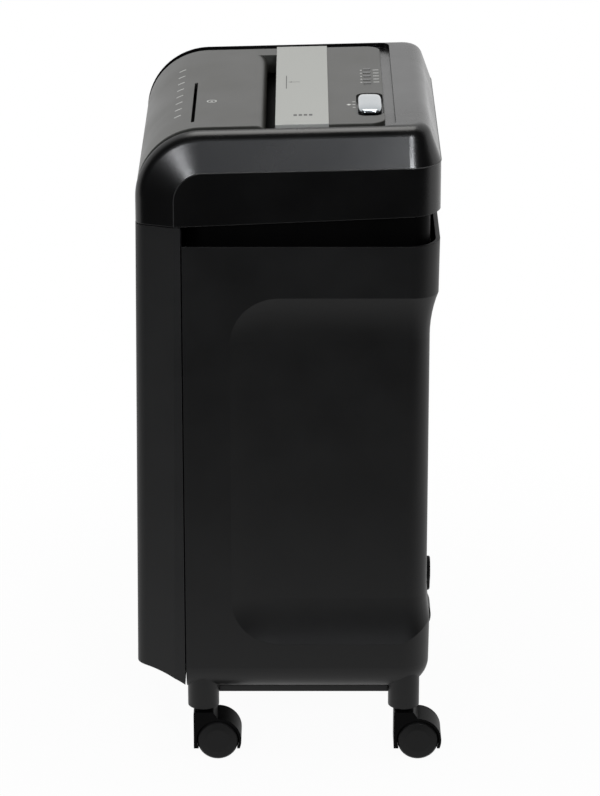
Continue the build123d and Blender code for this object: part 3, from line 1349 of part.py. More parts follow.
for place, (x, y) in castor_places.items():
    with BuildPart() as castor_hood:
        add_hood(x, y)
        outer_edges = castor_hood.edges().filter_by(Axis.X).group_by(Axis.Z)[-1]
        fillet(outer_edges, HOOD_EDGE)
    keep(castor_hood, f"castor_hood_{place}")

    with BuildPart() as castor_stem:
        add(rod_z(x, y, STEM_R, STEM_LOW_Z, STEM_TOP_Z))
        add(rod_z(x, y, COLLAR_R, HOOD_TOP_Z, SOCKET_BOTTOM_Z - SLIDE_GAP))
    keep(castor_stem, f"castor_stem_{place}")

    with BuildPart() as castor_wheels:
        add_wheel(x, y, 1)
        add_wheel(x, y, -1)
    keep(castor_wheels, f"castor_wheels_{place}")

    with BuildPart() as castor_axle:
        axle_half = wheel_outer - WHEEL_EDGE - SEAT_GAP
        add(rod_x(y + CASTOR_TRAIL, WHEEL_R, AXLE_R, x - axle_half, x + axle_half))
    keep(castor_axle, f"castor_axle_{place}")
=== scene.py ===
import json
import math

import bmesh
import bpy
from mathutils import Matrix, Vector


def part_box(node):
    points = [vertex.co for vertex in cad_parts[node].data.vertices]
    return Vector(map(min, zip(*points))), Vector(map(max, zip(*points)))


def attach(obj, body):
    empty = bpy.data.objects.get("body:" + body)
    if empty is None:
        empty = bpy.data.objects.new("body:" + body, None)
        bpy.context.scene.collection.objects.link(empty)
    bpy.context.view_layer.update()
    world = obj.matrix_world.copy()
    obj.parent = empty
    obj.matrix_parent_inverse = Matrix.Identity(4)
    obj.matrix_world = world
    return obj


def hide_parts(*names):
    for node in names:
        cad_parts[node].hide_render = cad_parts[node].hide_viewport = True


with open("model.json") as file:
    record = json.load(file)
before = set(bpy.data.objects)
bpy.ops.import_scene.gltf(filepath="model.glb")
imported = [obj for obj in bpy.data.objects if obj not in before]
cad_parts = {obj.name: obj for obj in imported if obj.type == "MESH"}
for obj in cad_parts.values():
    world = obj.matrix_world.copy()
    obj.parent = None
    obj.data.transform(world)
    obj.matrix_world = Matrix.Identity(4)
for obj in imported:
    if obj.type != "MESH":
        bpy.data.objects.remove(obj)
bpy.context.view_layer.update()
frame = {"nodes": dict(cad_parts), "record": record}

# Camera, at the viewing angle of the photograph
CAMERA_PLACE = (3.134, 0.0092, 1.4464)
CAMERA_PITCH = math.radians(20.2)
CAMERA_LENS = 162.8
SENSOR_LONG = 36.0
CAMERA_REACH = 50.0

# Studio: a white backdrop and a white floor that keeps the shadow, in a room that is dim on the camera's side
FLOOR_HALF = 9.0
FLOOR_COLOUR = (0.90, 0.90, 0.90, 1)
FLOOR_ROUGHNESS = 0.8
FLOOR_SPECULAR = 0.1
FLOOR_WHITE_NEAR = 0.96
FLOOR_NEAR = 0.25
FLOOR_FAR = 0.75
FLOOR_DIM_START = 0.32
FLOOR_DIM_END = 1.0
ROOM_DIM_START = -0.25
ROOM_DIM_END = 0.25
DIM_LEVEL = 0.05
WORLD_LIGHT = (0.95, 0.97, 1.0, 1)
WORLD_LEVEL = 0.30
WHITE = (1, 1, 1, 1)

# Lamps: name, place, aim, size across, size along, watts, colour
LAMPS = (
    ("lamp_over", (-0.15, 0.0, 2.1), (0.0, 0.0, 0.5), 1.1, 1.1, 15, (1.0, 0.99, 0.96)),
    ("lamp_front", (2.14, -0.83, 1.18), (0.0, 0.0, 0.54), 0.28, 0.30, 9.0, (0.95, 0.97, 1.0)),
    ("lamp_rear", (2.13, 0.52, 1.40), (0.0, 0.0, 0.54), 0.24, 0.26, 12.0, (0.95, 0.97, 1.0)),
    ("lamp_middle", (2.40, 0.0, 1.56), (0.0, 0.0, 0.56), 1.50, 0.30, 1.8, (0.88, 0.92, 1.0)),
)

# Moulded plastics: base colour, second colour of the mottling, roughness, specular level, grain depth
PLASTICS = {
    "black_shell": ((0.0026, 0.0026, 0.0027), (0.0036, 0.0036, 0.0037), 0.45, 0.30, 0.00006),
    "head_black": ((0.0010, 0.0010, 0.0011), (0.0016, 0.0016, 0.0017), 0.25, 0.48, 0.00002),
    # Bin front: the shell's black plastic with a lighter base colour, a painted sheen on top of its slightly
    # higher specular level
    "front_black_painted_sheen": ((0.0062, 0.0062, 0.0063), (0.0078, 0.0078, 0.0079), 0.50, 0.32, 0.00006),
    # Crease bead: a lighter black than the head, a painted highlight line along the crease
    "bead_painted_highlight": ((0.0120, 0.0120, 0.0125), (0.0150, 0.0150, 0.0155), 0.30, 0.60, 0.00002),
    "deck_grey": ((0.029, 0.029, 0.025), (0.038, 0.038, 0.033), 0.40, 0.47, 0.00005),
    "tub_grey": ((0.030, 0.030, 0.032), (0.038, 0.038, 0.040), 0.50, 0.25, 0.00006),
    # Inside: near-black base colour and almost no specular, painted shade for the dark gap between head and
    # cabinet
    "inner_black": ((0.0006, 0.0006, 0.0006), (0.0009, 0.0009, 0.0009), 0.50, 0.04, 0.00004),
    "rocker_black": ((0.0060, 0.0060, 0.0060), (0.0080, 0.0080, 0.0080), 0.22, 0.30, 0.00002),
    "spacer_rubber": ((0.0045, 0.0045, 0.0045), (0.0060, 0.0060, 0.0060), 0.65, 0.12, 0.00008),
    "motor_paint": ((0.0200, 0.0200, 0.0220), (0.0270, 0.0270, 0.0290), 0.35, 0.40, 0.00003),
    "board_green": ((0.0100, 0.0700, 0.0240), (0.0140, 0.0900, 0.0320), 0.40, 0.40, 0.00002),
    "board_dark": ((0.0120, 0.0120, 0.0140), (0.0200, 0.0200, 0.0220), 0.45, 0.35, 0.00003),
    "castor_black": ((0.0014, 0.0014, 0.0015), (0.0020, 0.0020, 0.0021), 0.42, 0.04, 0.00003),
    "wheel_black": ((0.0030, 0.0030, 0.0031), (0.0042, 0.0042, 0.0043), 0.36, 0.18, 0.00005),
}

# Metals: base colour, roughness, stretch of the brush marks along X, Y and Z
METALS = {
    "cutter_steel": ((0.40, 0.40, 0.41), 0.30, (900, 60, 60)),
    "plate_steel": ((0.50, 0.50, 0.51), 0.38, (200, 40, 200)),
    "screw_zinc": ((0.56, 0.56, 0.55), 0.34, (500, 500, 500)),
    "gear_steel": ((0.33, 0.33, 0.34), 0.34, (700, 80, 80)),
    "bush_brass": ((0.60, 0.42, 0.16), 0.35, (500, 500, 500)),
}

# Noise behind the finishes: scales, detail, and the part of each noise that is spread over a range
GRAIN_SCALE = 1400.0
GRAIN_DETAIL = 2.0
MOTTLE_SCALE = 18.0
MOTTLE_DETAIL = 3.0
BRUSH_SCALE = 1.0
BRUSH_DETAIL = 4.0
FLAKE_DETAIL = 1.0
CLOUD_DETAIL = 2.0
NOISE_LOW = 0.3
NOISE_HIGH = 0.7
TONE_LOW = 0.35
TONE_HIGH = 0.65
PLASTIC_SMOOTHER = 0.03
PLASTIC_ROUGHER = 0.04
METAL_GLOSS_SPREAD = 0.06
METAL_SHADE = 0.9
METAL_RELIEF = 0.00001

# Edges that look rounded
EDGE_R = 0.0008
EDGE_SAMPLES = 4

# Satin silver lacquer on the strip
STRIP_COLOURS = ((0.385, 0.39, 0.37), (0.43, 0.435, 0.415))
STRIP_FLAKE_SCALE = 3200.0
STRIP_ROUGHNESS = (0.46, 0.54)
STRIP_METAL = 0.25
STRIP_SPECULAR = 0.25
STRIP_RELIEF = 0.000008

# Bright silver on the switch knob
KNOB_COLOURS = ((0.40, 0.43, 0.45), (0.46, 0.49, 0.51))
KNOB_FLAKE_SCALE = 2600.0
KNOB_METAL = 0.9
KNOB_ROUGHNESS = 0.16
KNOB_COAT = 0.4
KNOB_RELIEF = 0.000004

# Dark lenses over the indicators
LENS_COLOURS = ((0.006, 0.006, 0.006), (0.010, 0.010, 0.010))
LENS_CLOUD_SCALE = 500.0
LENS_ROUGHNESS = 0.18
LENS_RELIEF = 0.000008

# Smoke-grey pane of the bin
PANE_COLOURS = ((0.10, 0.10, 0.11), (0.14, 0.14, 0.15))
PANE_CLOUD_SCALE = 30.0
PANE_ROUGHNESS = 0.08
PANE_CLEARNESS = 0.85
PANE_IOR = 1.49

# Inks: pale for the deck, grey for the strip
INKS = {
    "ink_pale": ((0.55, 0.55, 0.53), (0.66, 0.66, 0.64)),
    "ink_grey": ((0.075, 0.075, 0.075), (0.10, 0.10, 0.10)),
}
INK_SPOT_SCALE = 2200.0
INK_ROUGHNESS = 0.6
INK_RELIEF = 0.000006

# Nodes whose finish differs from that of their slot: a smoother head, a front with more sheen, partly from a
# higher specular level and partly painted in by a lighter base colour, and an inside darkened to paint the
# shade in the gap under the head
NODE_FINISHES = {"head_cover": "head_black", "bin_front": "front_black_painted_sheen", "head_tray": "inner_black"}

# Top of the head, as in the solids
FRONT_Y = -0.1342
REAR_Y = 0.1318
SIDE_X = 0.160
HEAD_ARC_R = 0.060
CREST_FRONT_Z = 0.5918
HEAD_FRONT_Z = 0.5095
TOP_SLOPE = math.radians(1.4)
SHOULDER_DROP = 0.034
CORNER_R = 0.028
DECK_DROP = 0.0006

# Crease under the shoulder: a fine moulded bead, in a lighter black that paints a highlight line along the
# crease
BEAD_R = 0.00042
BEAD_STEPS = 18
BEAD_ROUNDING = 3

# Printed marks: plain bars, dots, a ring, a diamond and an arrow
PRINT_RISE = 0.00006
PRINT_SINK = 0.00004
LENS_COUNT = 5
BAR_LENGTH = 0.0052
BAR_WIDTH = 0.0015
BAR_SHIFT = 0.0082
DOT_R = 0.0010
DOT_STEPS = 12
DOT_SHIFT = 0.0052
TICK_LENGTH = 0.0024
TICK_SHIFT = 0.0140
KNOB_TRAVEL = 0.009
DIAMOND_SHIFT = 0.0185
DIAMOND_HALF = (0.0028, 0.0022)
RING_PLACE = (0.048, -0.0690)
RING_R = 0.0044
RING_WIDTH = 0.0009
RING_STEPS = 32
HUB_R = 0.0012
FRONT_BAR_Y = -0.0985
FRONT_BAR_X = (-0.075, -0.053, -0.031, -0.009, 0.013, 0.035, 0.057, 0.079)
FRONT_BAR_SIZE = (0.0018, 0.0060)
FRONT_BAR_PARTS = 6
ARROW_PLACE = (-0.006, 0.0040)
ARROW_LENGTH = 0.0100
ARROW_WIDTH = 0.0008
ARROW_HEAD = 0.0030
GUIDE_LENGTH = 0.044
GUIDE_SHIFT = 0.0070
OBLONG_X = 0.104
OBLONG_Y = (0.0050, 0.0095, 0.0140, 0.0185)
OBLONG_SIZE = (0.0050, 0.0030)
RAY_START_Z = 1.0

# Switch knob: a crowned pad on a narrow neck
KNOB_RINGS = 14
KNOB_STEPS = 64
KNOB_SQUARENESS = 4.5
KNOB_CROWN = 3.2
KNOB_WALL = 0.35
KNOB_NECK = 0.45


def new_material(name):
    """A node material, with its tree and its shader."""
    material = bpy.data.materials.new(name)
    material.use_nodes = True
    tree = material.node_tree
    return material, tree, tree.nodes["Principled BSDF"]


def noise(tree, scale, detail, stretch=None):
    """A noise texture in the object's own frame, stretched along the axes where asked."""
    place = tree.nodes.new("ShaderNodeTexCoord")
    texture = tree.nodes.new("ShaderNodeTexNoise")
    texture.inputs["Scale"].default_value = scale
    texture.inputs["Detail"].default_value = detail
    if stretch is None:
        tree.links.new(place.outputs["Object"], texture.inputs["Vector"])
        return texture
    mapping = tree.nodes.new("ShaderNodeMapping")
    mapping.inputs["Scale"].default_value = stretch
    tree.links.new(place.outputs["Object"], mapping.inputs["Vector"])
    tree.links.new(mapping.outputs["Vector"], texture.inputs["Vector"])
    return texture


def spread(tree, source, low, high):
    """Maps a noise value onto a range."""
    ranger = tree.nodes.new("ShaderNodeMapRange")
    ranger.inputs["From Min"].default_value = NOISE_LOW
    ranger.inputs["From Max"].default_value = NOISE_HIGH
    ranger.inputs["To Min"].default_value = low
    ranger.inputs["To Max"].default_value = high
    tree.links.new(source, ranger.inputs["Value"])
    return ranger.outputs["Result"]


def two_tone(tree, source, first, second):
    """Mixes two close colours by a noise value."""
    ramp = tree.nodes.new("ShaderNodeValToRGB")
    ramp.color_ramp.elements[0].position = TONE_LOW
    ramp.color_ramp.elements[0].color = (*first, 1)
    ramp.color_ramp.elements[1].position = TONE_HIGH
    ramp.color_ramp.elements[1].color = (*second, 1)
    tree.links.new(source, ramp.inputs["Fac"])
    return ramp.outputs["Color"]


def relief(tree, shader, source, depth, edge=0.0):
    """Fine bump from a noise value, over edges that look rounded where asked."""
    bump = tree.nodes.new("ShaderNodeBump")
    bump.inputs["Strength"].default_value = 1.0
    bump.inputs["Distance"].default_value = depth
    tree.links.new(source, bump.inputs["Height"])
    if edge:
        rounding = tree.nodes.new("ShaderNodeBevel")
        rounding.samples = EDGE_SAMPLES
        rounding.inputs["Radius"].default_value = edge
        tree.links.new(rounding.outputs["Normal"], bump.inputs["Normal"])
    tree.links.new(bump.outputs["Normal"], shader.inputs["Normal"])


def moulded_plastic(name, first, second, roughness, specular, depth):
    """Plastic with faint mottling, uneven gloss and a fine moulded grain."""
    material, tree, shader = new_material(name)
    mottle = noise(tree, MOTTLE_SCALE, MOTTLE_DETAIL).outputs["Fac"]
    grain = noise(tree, GRAIN_SCALE, GRAIN_DETAIL).outputs["Fac"]
    gloss = spread(tree, mottle, roughness - PLASTIC_SMOOTHER, roughness + PLASTIC_ROUGHER)
    tree.links.new(two_tone(tree, mottle, first, second), shader.inputs["Base Color"])
    tree.links.new(gloss, shader.inputs["Roughness"])
    shader.inputs["Specular IOR Level"].default_value = specular
    relief(tree, shader, grain, depth, EDGE_R)
    return material


def brushed_metal(name, colour, roughness, stretch):
    """Metal with brush marks in its gloss and its relief."""
    material, tree, shader = new_material(name)
    marks = noise(tree, BRUSH_SCALE, BRUSH_DETAIL, stretch).outputs["Fac"]
    darker = tuple(METAL_SHADE * part for part in colour)
    gloss = spread(tree, marks, roughness - METAL_GLOSS_SPREAD, roughness + METAL_GLOSS_SPREAD)
    tree.links.new(two_tone(tree, marks, darker, colour), shader.inputs["Base Color"])
    tree.links.new(gloss, shader.inputs["Roughness"])
    shader.inputs["Metallic"].default_value = 1.0
    relief(tree, shader, marks, METAL_RELIEF)
    return material


def gloss_share(tree):
    """One for rays in gloss or through glass."""
    ray = tree.nodes.new("ShaderNodeLightPath")
    either = tree.nodes.new("ShaderNodeMath")
    either.operation = "MAXIMUM"
    tree.links.new(ray.outputs["Is Glossy Ray"], either.inputs[0])
    tree.links.new(ray.outputs["Is Transmission Ray"], either.inputs[1])
    return either.outputs["Value"]


def camera_share(tree):
    """One for rays that come straight from the camera."""
    return tree.nodes.new("ShaderNodeLightPath").outputs["Is Camera Ray"]


def fade(tree, source, start, end, first, last):
    """A soft change of value between two points of a source."""
    ranger = tree.nodes.new("ShaderNodeMapRange")
    ranger.interpolation_type = "SMOOTHSTEP"
    ranger.inputs["From Min"].default_value = start
    ranger.inputs["From Max"].default_value = end
    ranger.inputs["To Min"].default_value = first
    ranger.inputs["To Max"].default_value = last
    tree.links.new(source, ranger.inputs["Value"])
    return ranger.outputs["Result"]


def mixed(tree, share, first, second):
    """Mixes two shaders by a share."""
    mix = tree.nodes.new("ShaderNodeMixShader")
    tree.links.new(share, mix.inputs["Fac"])
    tree.links.new(first, mix.inputs[1])
    tree.links.new(second, mix.inputs[2])
    return mix.outputs["Shader"]


def multiplied(tree, first, second):
    """Product of two values."""
    product = tree.nodes.new("ShaderNodeMath")
    product.operation = "MULTIPLY"
    tree.links.new(first, product.inputs[0])
    tree.links.new(second, product.inputs[1])
    return product.outputs["Value"]


def along_x(tree, vector):
    """The X part of a vector."""
    parts = tree.nodes.new("ShaderNodeSeparateXYZ")
    tree.links.new(vector, parts.inputs["Vector"])
    return parts.outputs["X"]


finishes = {name: moulded_plastic(name, *values) for name, values in PLASTICS.items()}
finishes.update({name: brushed_metal(name, *values) for name, values in METALS.items()})

# Strip
finishes["strip_silver"], tree, shader = new_material("strip_silver")
flakes = noise(tree, STRIP_FLAKE_SCALE, FLAKE_DETAIL).outputs["Fac"]
tree.links.new(two_tone(tree, flakes, *STRIP_COLOURS), shader.inputs["Base Color"])
tree.links.new(spread(tree, flakes, *STRIP_ROUGHNESS), shader.inputs["Roughness"])
shader.inputs["Metallic"].default_value = STRIP_METAL
shader.inputs["Specular IOR Level"].default_value = STRIP_SPECULAR
relief(tree, shader, flakes, STRIP_RELIEF, EDGE_R)

# Knob
finishes["knob_silver"], tree, shader = new_material("knob_silver")
flakes = noise(tree, KNOB_FLAKE_SCALE, FLAKE_DETAIL).outputs["Fac"]
tree.links.new(two_tone(tree, flakes, *KNOB_COLOURS), shader.inputs["Base Color"])
shader.inputs["Metallic"].default_value = KNOB_METAL
shader.inputs["Roughness"].default_value = KNOB_ROUGHNESS
shader.inputs["Coat Weight"].default_value = KNOB_COAT
relief(tree, shader, flakes, KNOB_RELIEF, EDGE_R)

# Lenses
finishes["lens_dark"], tree, shader = new_material("lens_dark")
cloud = noise(tree, LENS_CLOUD_SCALE, CLOUD_DETAIL).outputs["Fac"]
tree.links.new(two_tone(tree, cloud, *LENS_COLOURS), shader.inputs["Base Color"])
shader.inputs["Roughness"].default_value = LENS_ROUGHNESS
relief(tree, shader, cloud, LENS_RELIEF)

# Pane
finishes["window_smoke"], tree, shader = new_material("window_smoke")
cloud = noise(tree, PANE_CLOUD_SCALE, CLOUD_DETAIL).outputs["Fac"]
tree.links.new(two_tone(tree, cloud, *PANE_COLOURS), shader.inputs["Base Color"])
shader.inputs["Roughness"].default_value = PANE_ROUGHNESS
shader.inputs["Transmission Weight"].default_value = PANE_CLEARNESS
shader.inputs["IOR"].default_value = PANE_IOR

# Inks
for ink, colours in INKS.items():
    finishes[ink], tree, shader = new_material(ink)
    spots = noise(tree, INK_SPOT_SCALE, CLOUD_DETAIL).outputs["Fac"]
    tree.links.new(two_tone(tree, spots, *colours), shader.inputs["Base Color"])
    shader.inputs["Roughness"].default_value = INK_ROUGHNESS
    relief(tree, shader, spots, INK_RELIEF)

# Every solid takes the finish of its material slot, unless its node has one of its own
for entry in frame["record"]["subparts"]:
    solid = frame["nodes"][entry["node"]]
    finish = NODE_FINISHES.get(entry["node"], entry["material_slot"])
    solid.data.materials.clear()
    solid.data.materials.append(finishes[finish])


def crest_z(y):
    """Height of the head's sloping top line at depth y."""
    return CREST_FRONT_Z + (y - FRONT_Y - HEAD_ARC_R) * math.tan(TOP_SLOPE)


def crease_points():
    """Points of the crease from the front of one side, round the rear, to the front of the other side."""
    arc_y = FRONT_Y + HEAD_ARC_R
    arc_z = CREST_FRONT_Z - HEAD_ARC_R / math.cos(TOP_SLOPE)
    arc_r = HEAD_ARC_R - SHOULDER_DROP
    drop = SHOULDER_DROP / math.cos(TOP_SLOPE)
    half = [(SIDE_X, arc_y - arc_r, HEAD_FRONT_Z)]
    for step in range(BEAD_STEPS + 1):
        turn = math.pi - (math.pi / 2 - TOP_SLOPE) * step / BEAD_STEPS
        half.append((SIDE_X, arc_y + arc_r * math.cos(turn), arc_z + arc_r * math.sin(turn)))
    for step in range(BEAD_STEPS + 1):
        turn = math.pi / 2 * step / BEAD_STEPS
        y = REAR_Y - CORNER_R + CORNER_R * math.sin(turn)
        half.append((SIDE_X - CORNER_R + CORNER_R * math.cos(turn), y, crest_z(y) - drop))
    return half + [(-x, y, z) for x, y, z in reversed(half)]


def bead(name, points, radius, finish, body):
    """A fine round bead along points, as one curve that rides on a body."""
    line = bpy.data.curves.new(name, "CURVE")
    line.dimensions = "3D"
    line.bevel_depth = radius
    line.bevel_resolution = BEAD_ROUNDING
    spline = line.splines.new("POLY")
    spline.points.add(len(points) - 1)
    for point, place in zip(spline.points, points):
        point.co = (*place, 1)
    piece = bpy.data.objects.new(name, line)
    bpy.context.scene.collection.objects.link(piece)
    line.materials.append(finishes[finish])
    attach(piece, body)
    return piece


bead("crease_bead", crease_points(), BEAD_R, "bead_painted_highlight", "body")


def top_of(node, x, y):
    """Height of a solid's upper surface at a place."""
    found, place, _, _ = frame["nodes"][node].ray_cast((x, y, RAY_START_Z), (0, 0, -1))
    assert found, "no surface of " + node + " under a printed mark"
    return place.z


def new_piece(name, shape, finish, body):
    """Turns a built mesh into a piece that rides on a body."""
    bmesh.ops.recalc_face_normals(shape, faces=shape.faces)
    mesh = bpy.data.meshes.new(name)
    shape.to_mesh(mesh)
    shape.free()
    piece = bpy.data.objects.new(name, mesh)
    bpy.context.scene.collection.objects.link(piece)
    mesh.materials.append(finishes[finish])
    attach(piece, body)
    return piece


def printed(name, outlines, node, finish):
    """Flat printed marks, each a closed outline in X and Y, as one thin mesh on top of a solid."""
    shape = bmesh.new()
    for outline in outlines:
        heights = [top_of(node, x, y) for x, y in outline]
        low = [shape.verts.new((x, y, z - PRINT_SINK)) for (x, y), z in zip(outline, heights)]
        high = [shape.verts.new((x, y, z + PRINT_RISE)) for (x, y), z in zip(outline, heights)]
        shape.faces.new(high)
        shape.faces.new(list(reversed(low)))
        for index in range(len(outline)):
            after = (index + 1) % len(outline)
            shape.faces.new((low[index], low[after], high[after], high[index]))
    return new_piece(name, shape, finish, "body")


def bar(x, y, length_x, length_y):
    """Outline of a bar about a point."""
    return [
        (x - length_x / 2, y - length_y / 2),
        (x + length_x / 2, y - length_y / 2),
        (x + length_x / 2, y + length_y / 2),
        (x - length_x / 2, y + length_y / 2),
    ]


def disc(x, y, radius, steps):
    """Outline of a round dot about a point."""
    turns = [2 * math.pi * step / steps for step in range(steps)]
    return [(x + radius * math.cos(turn), y + radius * math.sin(turn)) for turn in turns]


def ring(x, y, radius, width, steps):
    """Outlines of the short pieces of a ring about a point."""
    inner = disc(x, y, radius - width, steps)
    outer = disc(x, y, radius, steps)
    pieces = []
    for step in range(steps):
        after = (step + 1) % steps
        pieces.append((inner[step], outer[step], outer[after], inner[after]))
    return pieces


def diamond(x, y, half_x, half_y):
    """Outline of a diamond about a point."""
    return [(x - half_x, y), (x, y - half_y), (x + half_x, y), (x, y + half_y)]


# Marks on the deck: a bar and a dot at each lens, ticks and a diamond at the knob, a disc sign, a front row
lens_low, lens_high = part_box("indicator_lenses")
knob_low, knob_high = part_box("switch_knob")
lens_y = (lens_low[1] + lens_high[1]) / 2
knob_x = (knob_low[0] + knob_high[0]) / 2
knob_y = (knob_low[1] + knob_high[1]) / 2
deck_marks = []
for index in range(LENS_COUNT):
    share = (index + 0.5) / LENS_COUNT
    x = lens_low[0] + (lens_high[0] - lens_low[0]) * share
    deck_marks.append(bar(x, lens_y + BAR_SHIFT, BAR_WIDTH, BAR_LENGTH))
    deck_marks.append(disc(x, lens_y - DOT_SHIFT, DOT_R, DOT_STEPS))
for place in (-KNOB_TRAVEL, 0.0, KNOB_TRAVEL):
    deck_marks.append(bar(knob_x + place, knob_y - TICK_SHIFT, BAR_WIDTH, TICK_LENGTH))
deck_marks.append(diamond(knob_x, knob_y - DIAMOND_SHIFT, *DIAMOND_HALF))
deck_marks.extend(ring(*RING_PLACE, RING_R, RING_WIDTH, RING_STEPS))
deck_marks.append(disc(*RING_PLACE, HUB_R, DOT_STEPS))
part_length = FRONT_BAR_SIZE[1] / FRONT_BAR_PARTS
for x in FRONT_BAR_X:
    for part in range(FRONT_BAR_PARTS):
        y = FRONT_BAR_Y + (part + 0.5 - FRONT_BAR_PARTS / 2) * part_length
        deck_marks.append(bar(x, y, FRONT_BAR_SIZE[0], part_length))
printed("deck_marks", deck_marks, "deck_panel", "ink_pale")

# Marks on the strip: an arrow into the throat, a line along the feed edge, and four plain oblongs
arrow_x, arrow_y = ARROW_PLACE
strip_marks = [
    bar(arrow_x, arrow_y, ARROW_WIDTH, ARROW_LENGTH),
    [
        (arrow_x - ARROW_HEAD / 2, arrow_y - ARROW_LENGTH / 2 + ARROW_HEAD),
        (arrow_x, arrow_y - ARROW_LENGTH / 2),
        (arrow_x + ARROW_HEAD / 2, arrow_y - ARROW_LENGTH / 2 + ARROW_HEAD),
    ],
    bar(arrow_x, arrow_y - GUIDE_SHIFT, GUIDE_LENGTH, ARROW_WIDTH),
]
for y in OBLONG_Y:
    strip_marks.append(bar(OBLONG_X, y, *OBLONG_SIZE))
printed("strip_marks", strip_marks, "sensor_strip", "ink_grey")


def squared(share):
    """Moves a share of a circle's reach towards that of a square with rounded corners."""
    return math.copysign(abs(share) ** (2 / KNOB_SQUARENESS), share)


def crowned_pad(name, low, high, finish, body):
    """A crowned pad with rounded corners on a narrow neck, between two corners of a box."""
    middle = [(low[axis] + high[axis]) / 2 for axis in range(3)]
    half_x = (high[0] - low[0]) / 2
    half_y = (high[1] - low[1]) / 2
    wall_z = top_of("deck_panel", middle[0], low[1] - half_y) + DECK_DROP
    rows = []
    for ring_index in range(1, KNOB_RINGS + 1):
        reach = math.sin(math.pi / 2 * ring_index / KNOB_RINGS)
        fall = (1 - reach ** KNOB_CROWN) ** KNOB_WALL
        rows.append((reach, wall_z + (high[2] - wall_z) * fall))
    rows.append((1.0, wall_z - DECK_DROP))
    rows.append((KNOB_NECK, wall_z - DECK_DROP))
    rows.append((KNOB_NECK, low[2]))
    shape = bmesh.new()
    centre = shape.verts.new((middle[0], middle[1], high[2]))
    rings = []
    for reach, z in rows:
        row = []
        for step in range(KNOB_STEPS):
            turn = 2 * math.pi * step / KNOB_STEPS
            x = middle[0] + half_x * reach * squared(math.cos(turn))
            y = middle[1] + half_y * reach * squared(math.sin(turn))
            row.append(shape.verts.new((x, y, z)))
        rings.append(row)
    for step in range(KNOB_STEPS):
        after = (step + 1) % KNOB_STEPS
        shape.faces.new((centre, rings[0][step], rings[0][after]))
        for inner, outer in zip(rings, rings[1:]):
            shape.faces.new((inner[step], outer[step], outer[after], inner[after]))
    shape.faces.new(list(reversed(rings[-1])))
    for face in shape.faces:
        face.smooth = True
    return new_piece(name, shape, finish, body)


knob_pad = crowned_pad("knob_pad", knob_low, knob_high, "knob_silver", "slide_knob")
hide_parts("switch_knob")

# Floor: white from afar, with the shadow near the object, and in gloss white near the object and behind it
bpy.ops.mesh.primitive_plane_add(size=2 * FLOOR_HALF, location=(0, 0, 0))
floor = bpy.context.object
floor.name = "floor"
floor_material, floor_tree, floor_shader = new_material("floor_pale")
floor_shader.inputs["Base Color"].default_value = FLOOR_COLOUR
floor_shader.inputs["Roughness"].default_value = FLOOR_ROUGHNESS
floor_shader.inputs["Specular IOR Level"].default_value = FLOOR_SPECULAR
floor_place = floor_tree.nodes.new("ShaderNodeTexCoord").outputs["Object"]
floor_distance = floor_tree.nodes.new("ShaderNodeVectorMath")
floor_distance.operation = "LENGTH"
floor_tree.links.new(floor_place, floor_distance.inputs[0])
floor_seen = floor_tree.nodes.new("ShaderNodeEmission")
floor_seen.inputs["Color"].default_value = WHITE
floor_seen.inputs["Strength"].default_value = 1.0
floor_in_gloss = floor_tree.nodes.new("ShaderNodeEmission")
floor_in_gloss.inputs["Color"].default_value = WHITE
floor_x = along_x(floor_tree, floor_place)
gloss_level = fade(floor_tree, floor_x, FLOOR_DIM_START, FLOOR_DIM_END, 1.0, DIM_LEVEL)
floor_tree.links.new(gloss_level, floor_in_gloss.inputs["Strength"])
distance = floor_distance.outputs["Value"]
white_share = fade(floor_tree, distance, FLOOR_NEAR, FLOOR_FAR, FLOOR_WHITE_NEAR, 1.0)
seen_share = multiplied(floor_tree, white_share, camera_share(floor_tree))
floor_look = mixed(floor_tree, seen_share, floor_shader.outputs["BSDF"], floor_seen.outputs["Emission"])
floor_look = mixed(floor_tree, gloss_share(floor_tree), floor_look, floor_in_gloss.outputs["Emission"])
floor_tree.links.new(floor_look, floor_tree.nodes["Material Output"].inputs["Surface"])
floor.data.materials.append(floor_material)

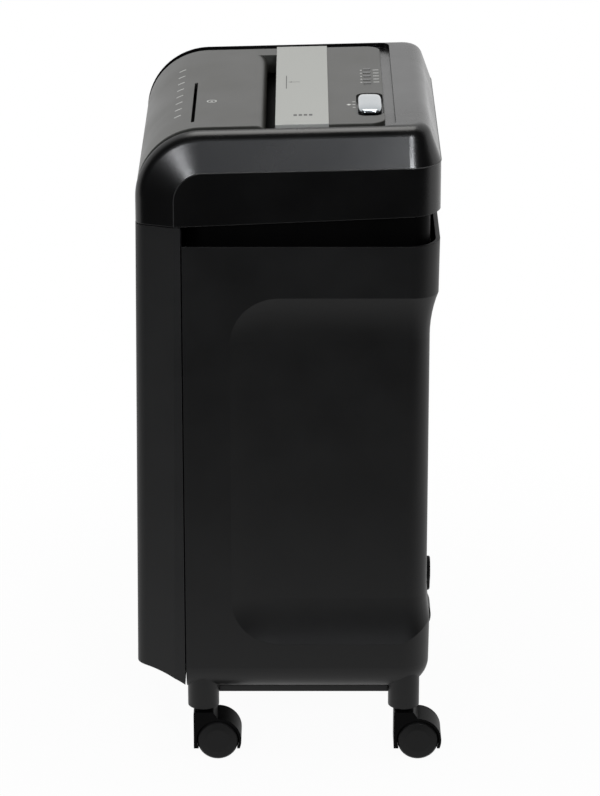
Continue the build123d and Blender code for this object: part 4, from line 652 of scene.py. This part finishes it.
# World: white where it is seen, white in gloss on the backdrop's side, and a soft fill elsewhere
world = bpy.data.worlds.new("studio")
bpy.context.scene.world = world
world.use_nodes = True
world_tree = world.node_tree
world_tree.nodes.clear()
world_out = world_tree.nodes.new("ShaderNodeOutputWorld")
fill_light = world_tree.nodes.new("ShaderNodeBackground")
fill_light.inputs["Color"].default_value = WORLD_LIGHT
fill_light.inputs["Strength"].default_value = WORLD_LEVEL
backdrop = world_tree.nodes.new("ShaderNodeBackground")
backdrop.inputs["Color"].default_value = WHITE
backdrop.inputs["Strength"].default_value = 1.0
room = world_tree.nodes.new("ShaderNodeBackground")
room.inputs["Color"].default_value = WHITE
direction = world_tree.nodes.new("ShaderNodeTexCoord").outputs["Generated"]
room_level = fade(world_tree, along_x(world_tree, direction), ROOM_DIM_START, ROOM_DIM_END, 1.0, DIM_LEVEL)
world_tree.links.new(room_level, room.inputs["Strength"])
world_look = mixed(
    world_tree, gloss_share(world_tree), fill_light.outputs["Background"], room.outputs["Background"]
)
world_look = mixed(world_tree, camera_share(world_tree), world_look, backdrop.outputs["Background"])
world_tree.links.new(world_look, world_out.inputs["Surface"])

# Lamps
for name, place, aim, across, along, watts, colour in LAMPS:
    lamp = bpy.data.lights.new(name, "AREA")
    lamp.shape = "RECTANGLE"
    lamp.size = across
    lamp.size_y = along
    lamp.energy = watts
    lamp.color = colour
    holder = bpy.data.objects.new(name, lamp)
    holder.location = place
    holder.rotation_euler = (Vector(aim) - Vector(place)).to_track_quat("-Z", "Y").to_euler()
    holder.visible_camera = False
    bpy.context.scene.collection.objects.link(holder)

# Camera
lens = bpy.data.cameras.new("camera")
lens.sensor_fit = "AUTO"
lens.sensor_width = SENSOR_LONG
lens.lens = CAMERA_LENS
lens.clip_end = CAMERA_REACH
camera = bpy.data.objects.new("camera", lens)
camera.location = CAMERA_PLACE
look = Vector((-math.cos(CAMERA_PITCH), 0, -math.sin(CAMERA_PITCH)))
camera.rotation_euler = look.to_track_quat("-Z", "Y").to_euler()
bpy.context.scene.collection.objects.link(camera)
bpy.context.scene.camera = camera
bpy.context.scene.view_settings.view_transform = "Standard"
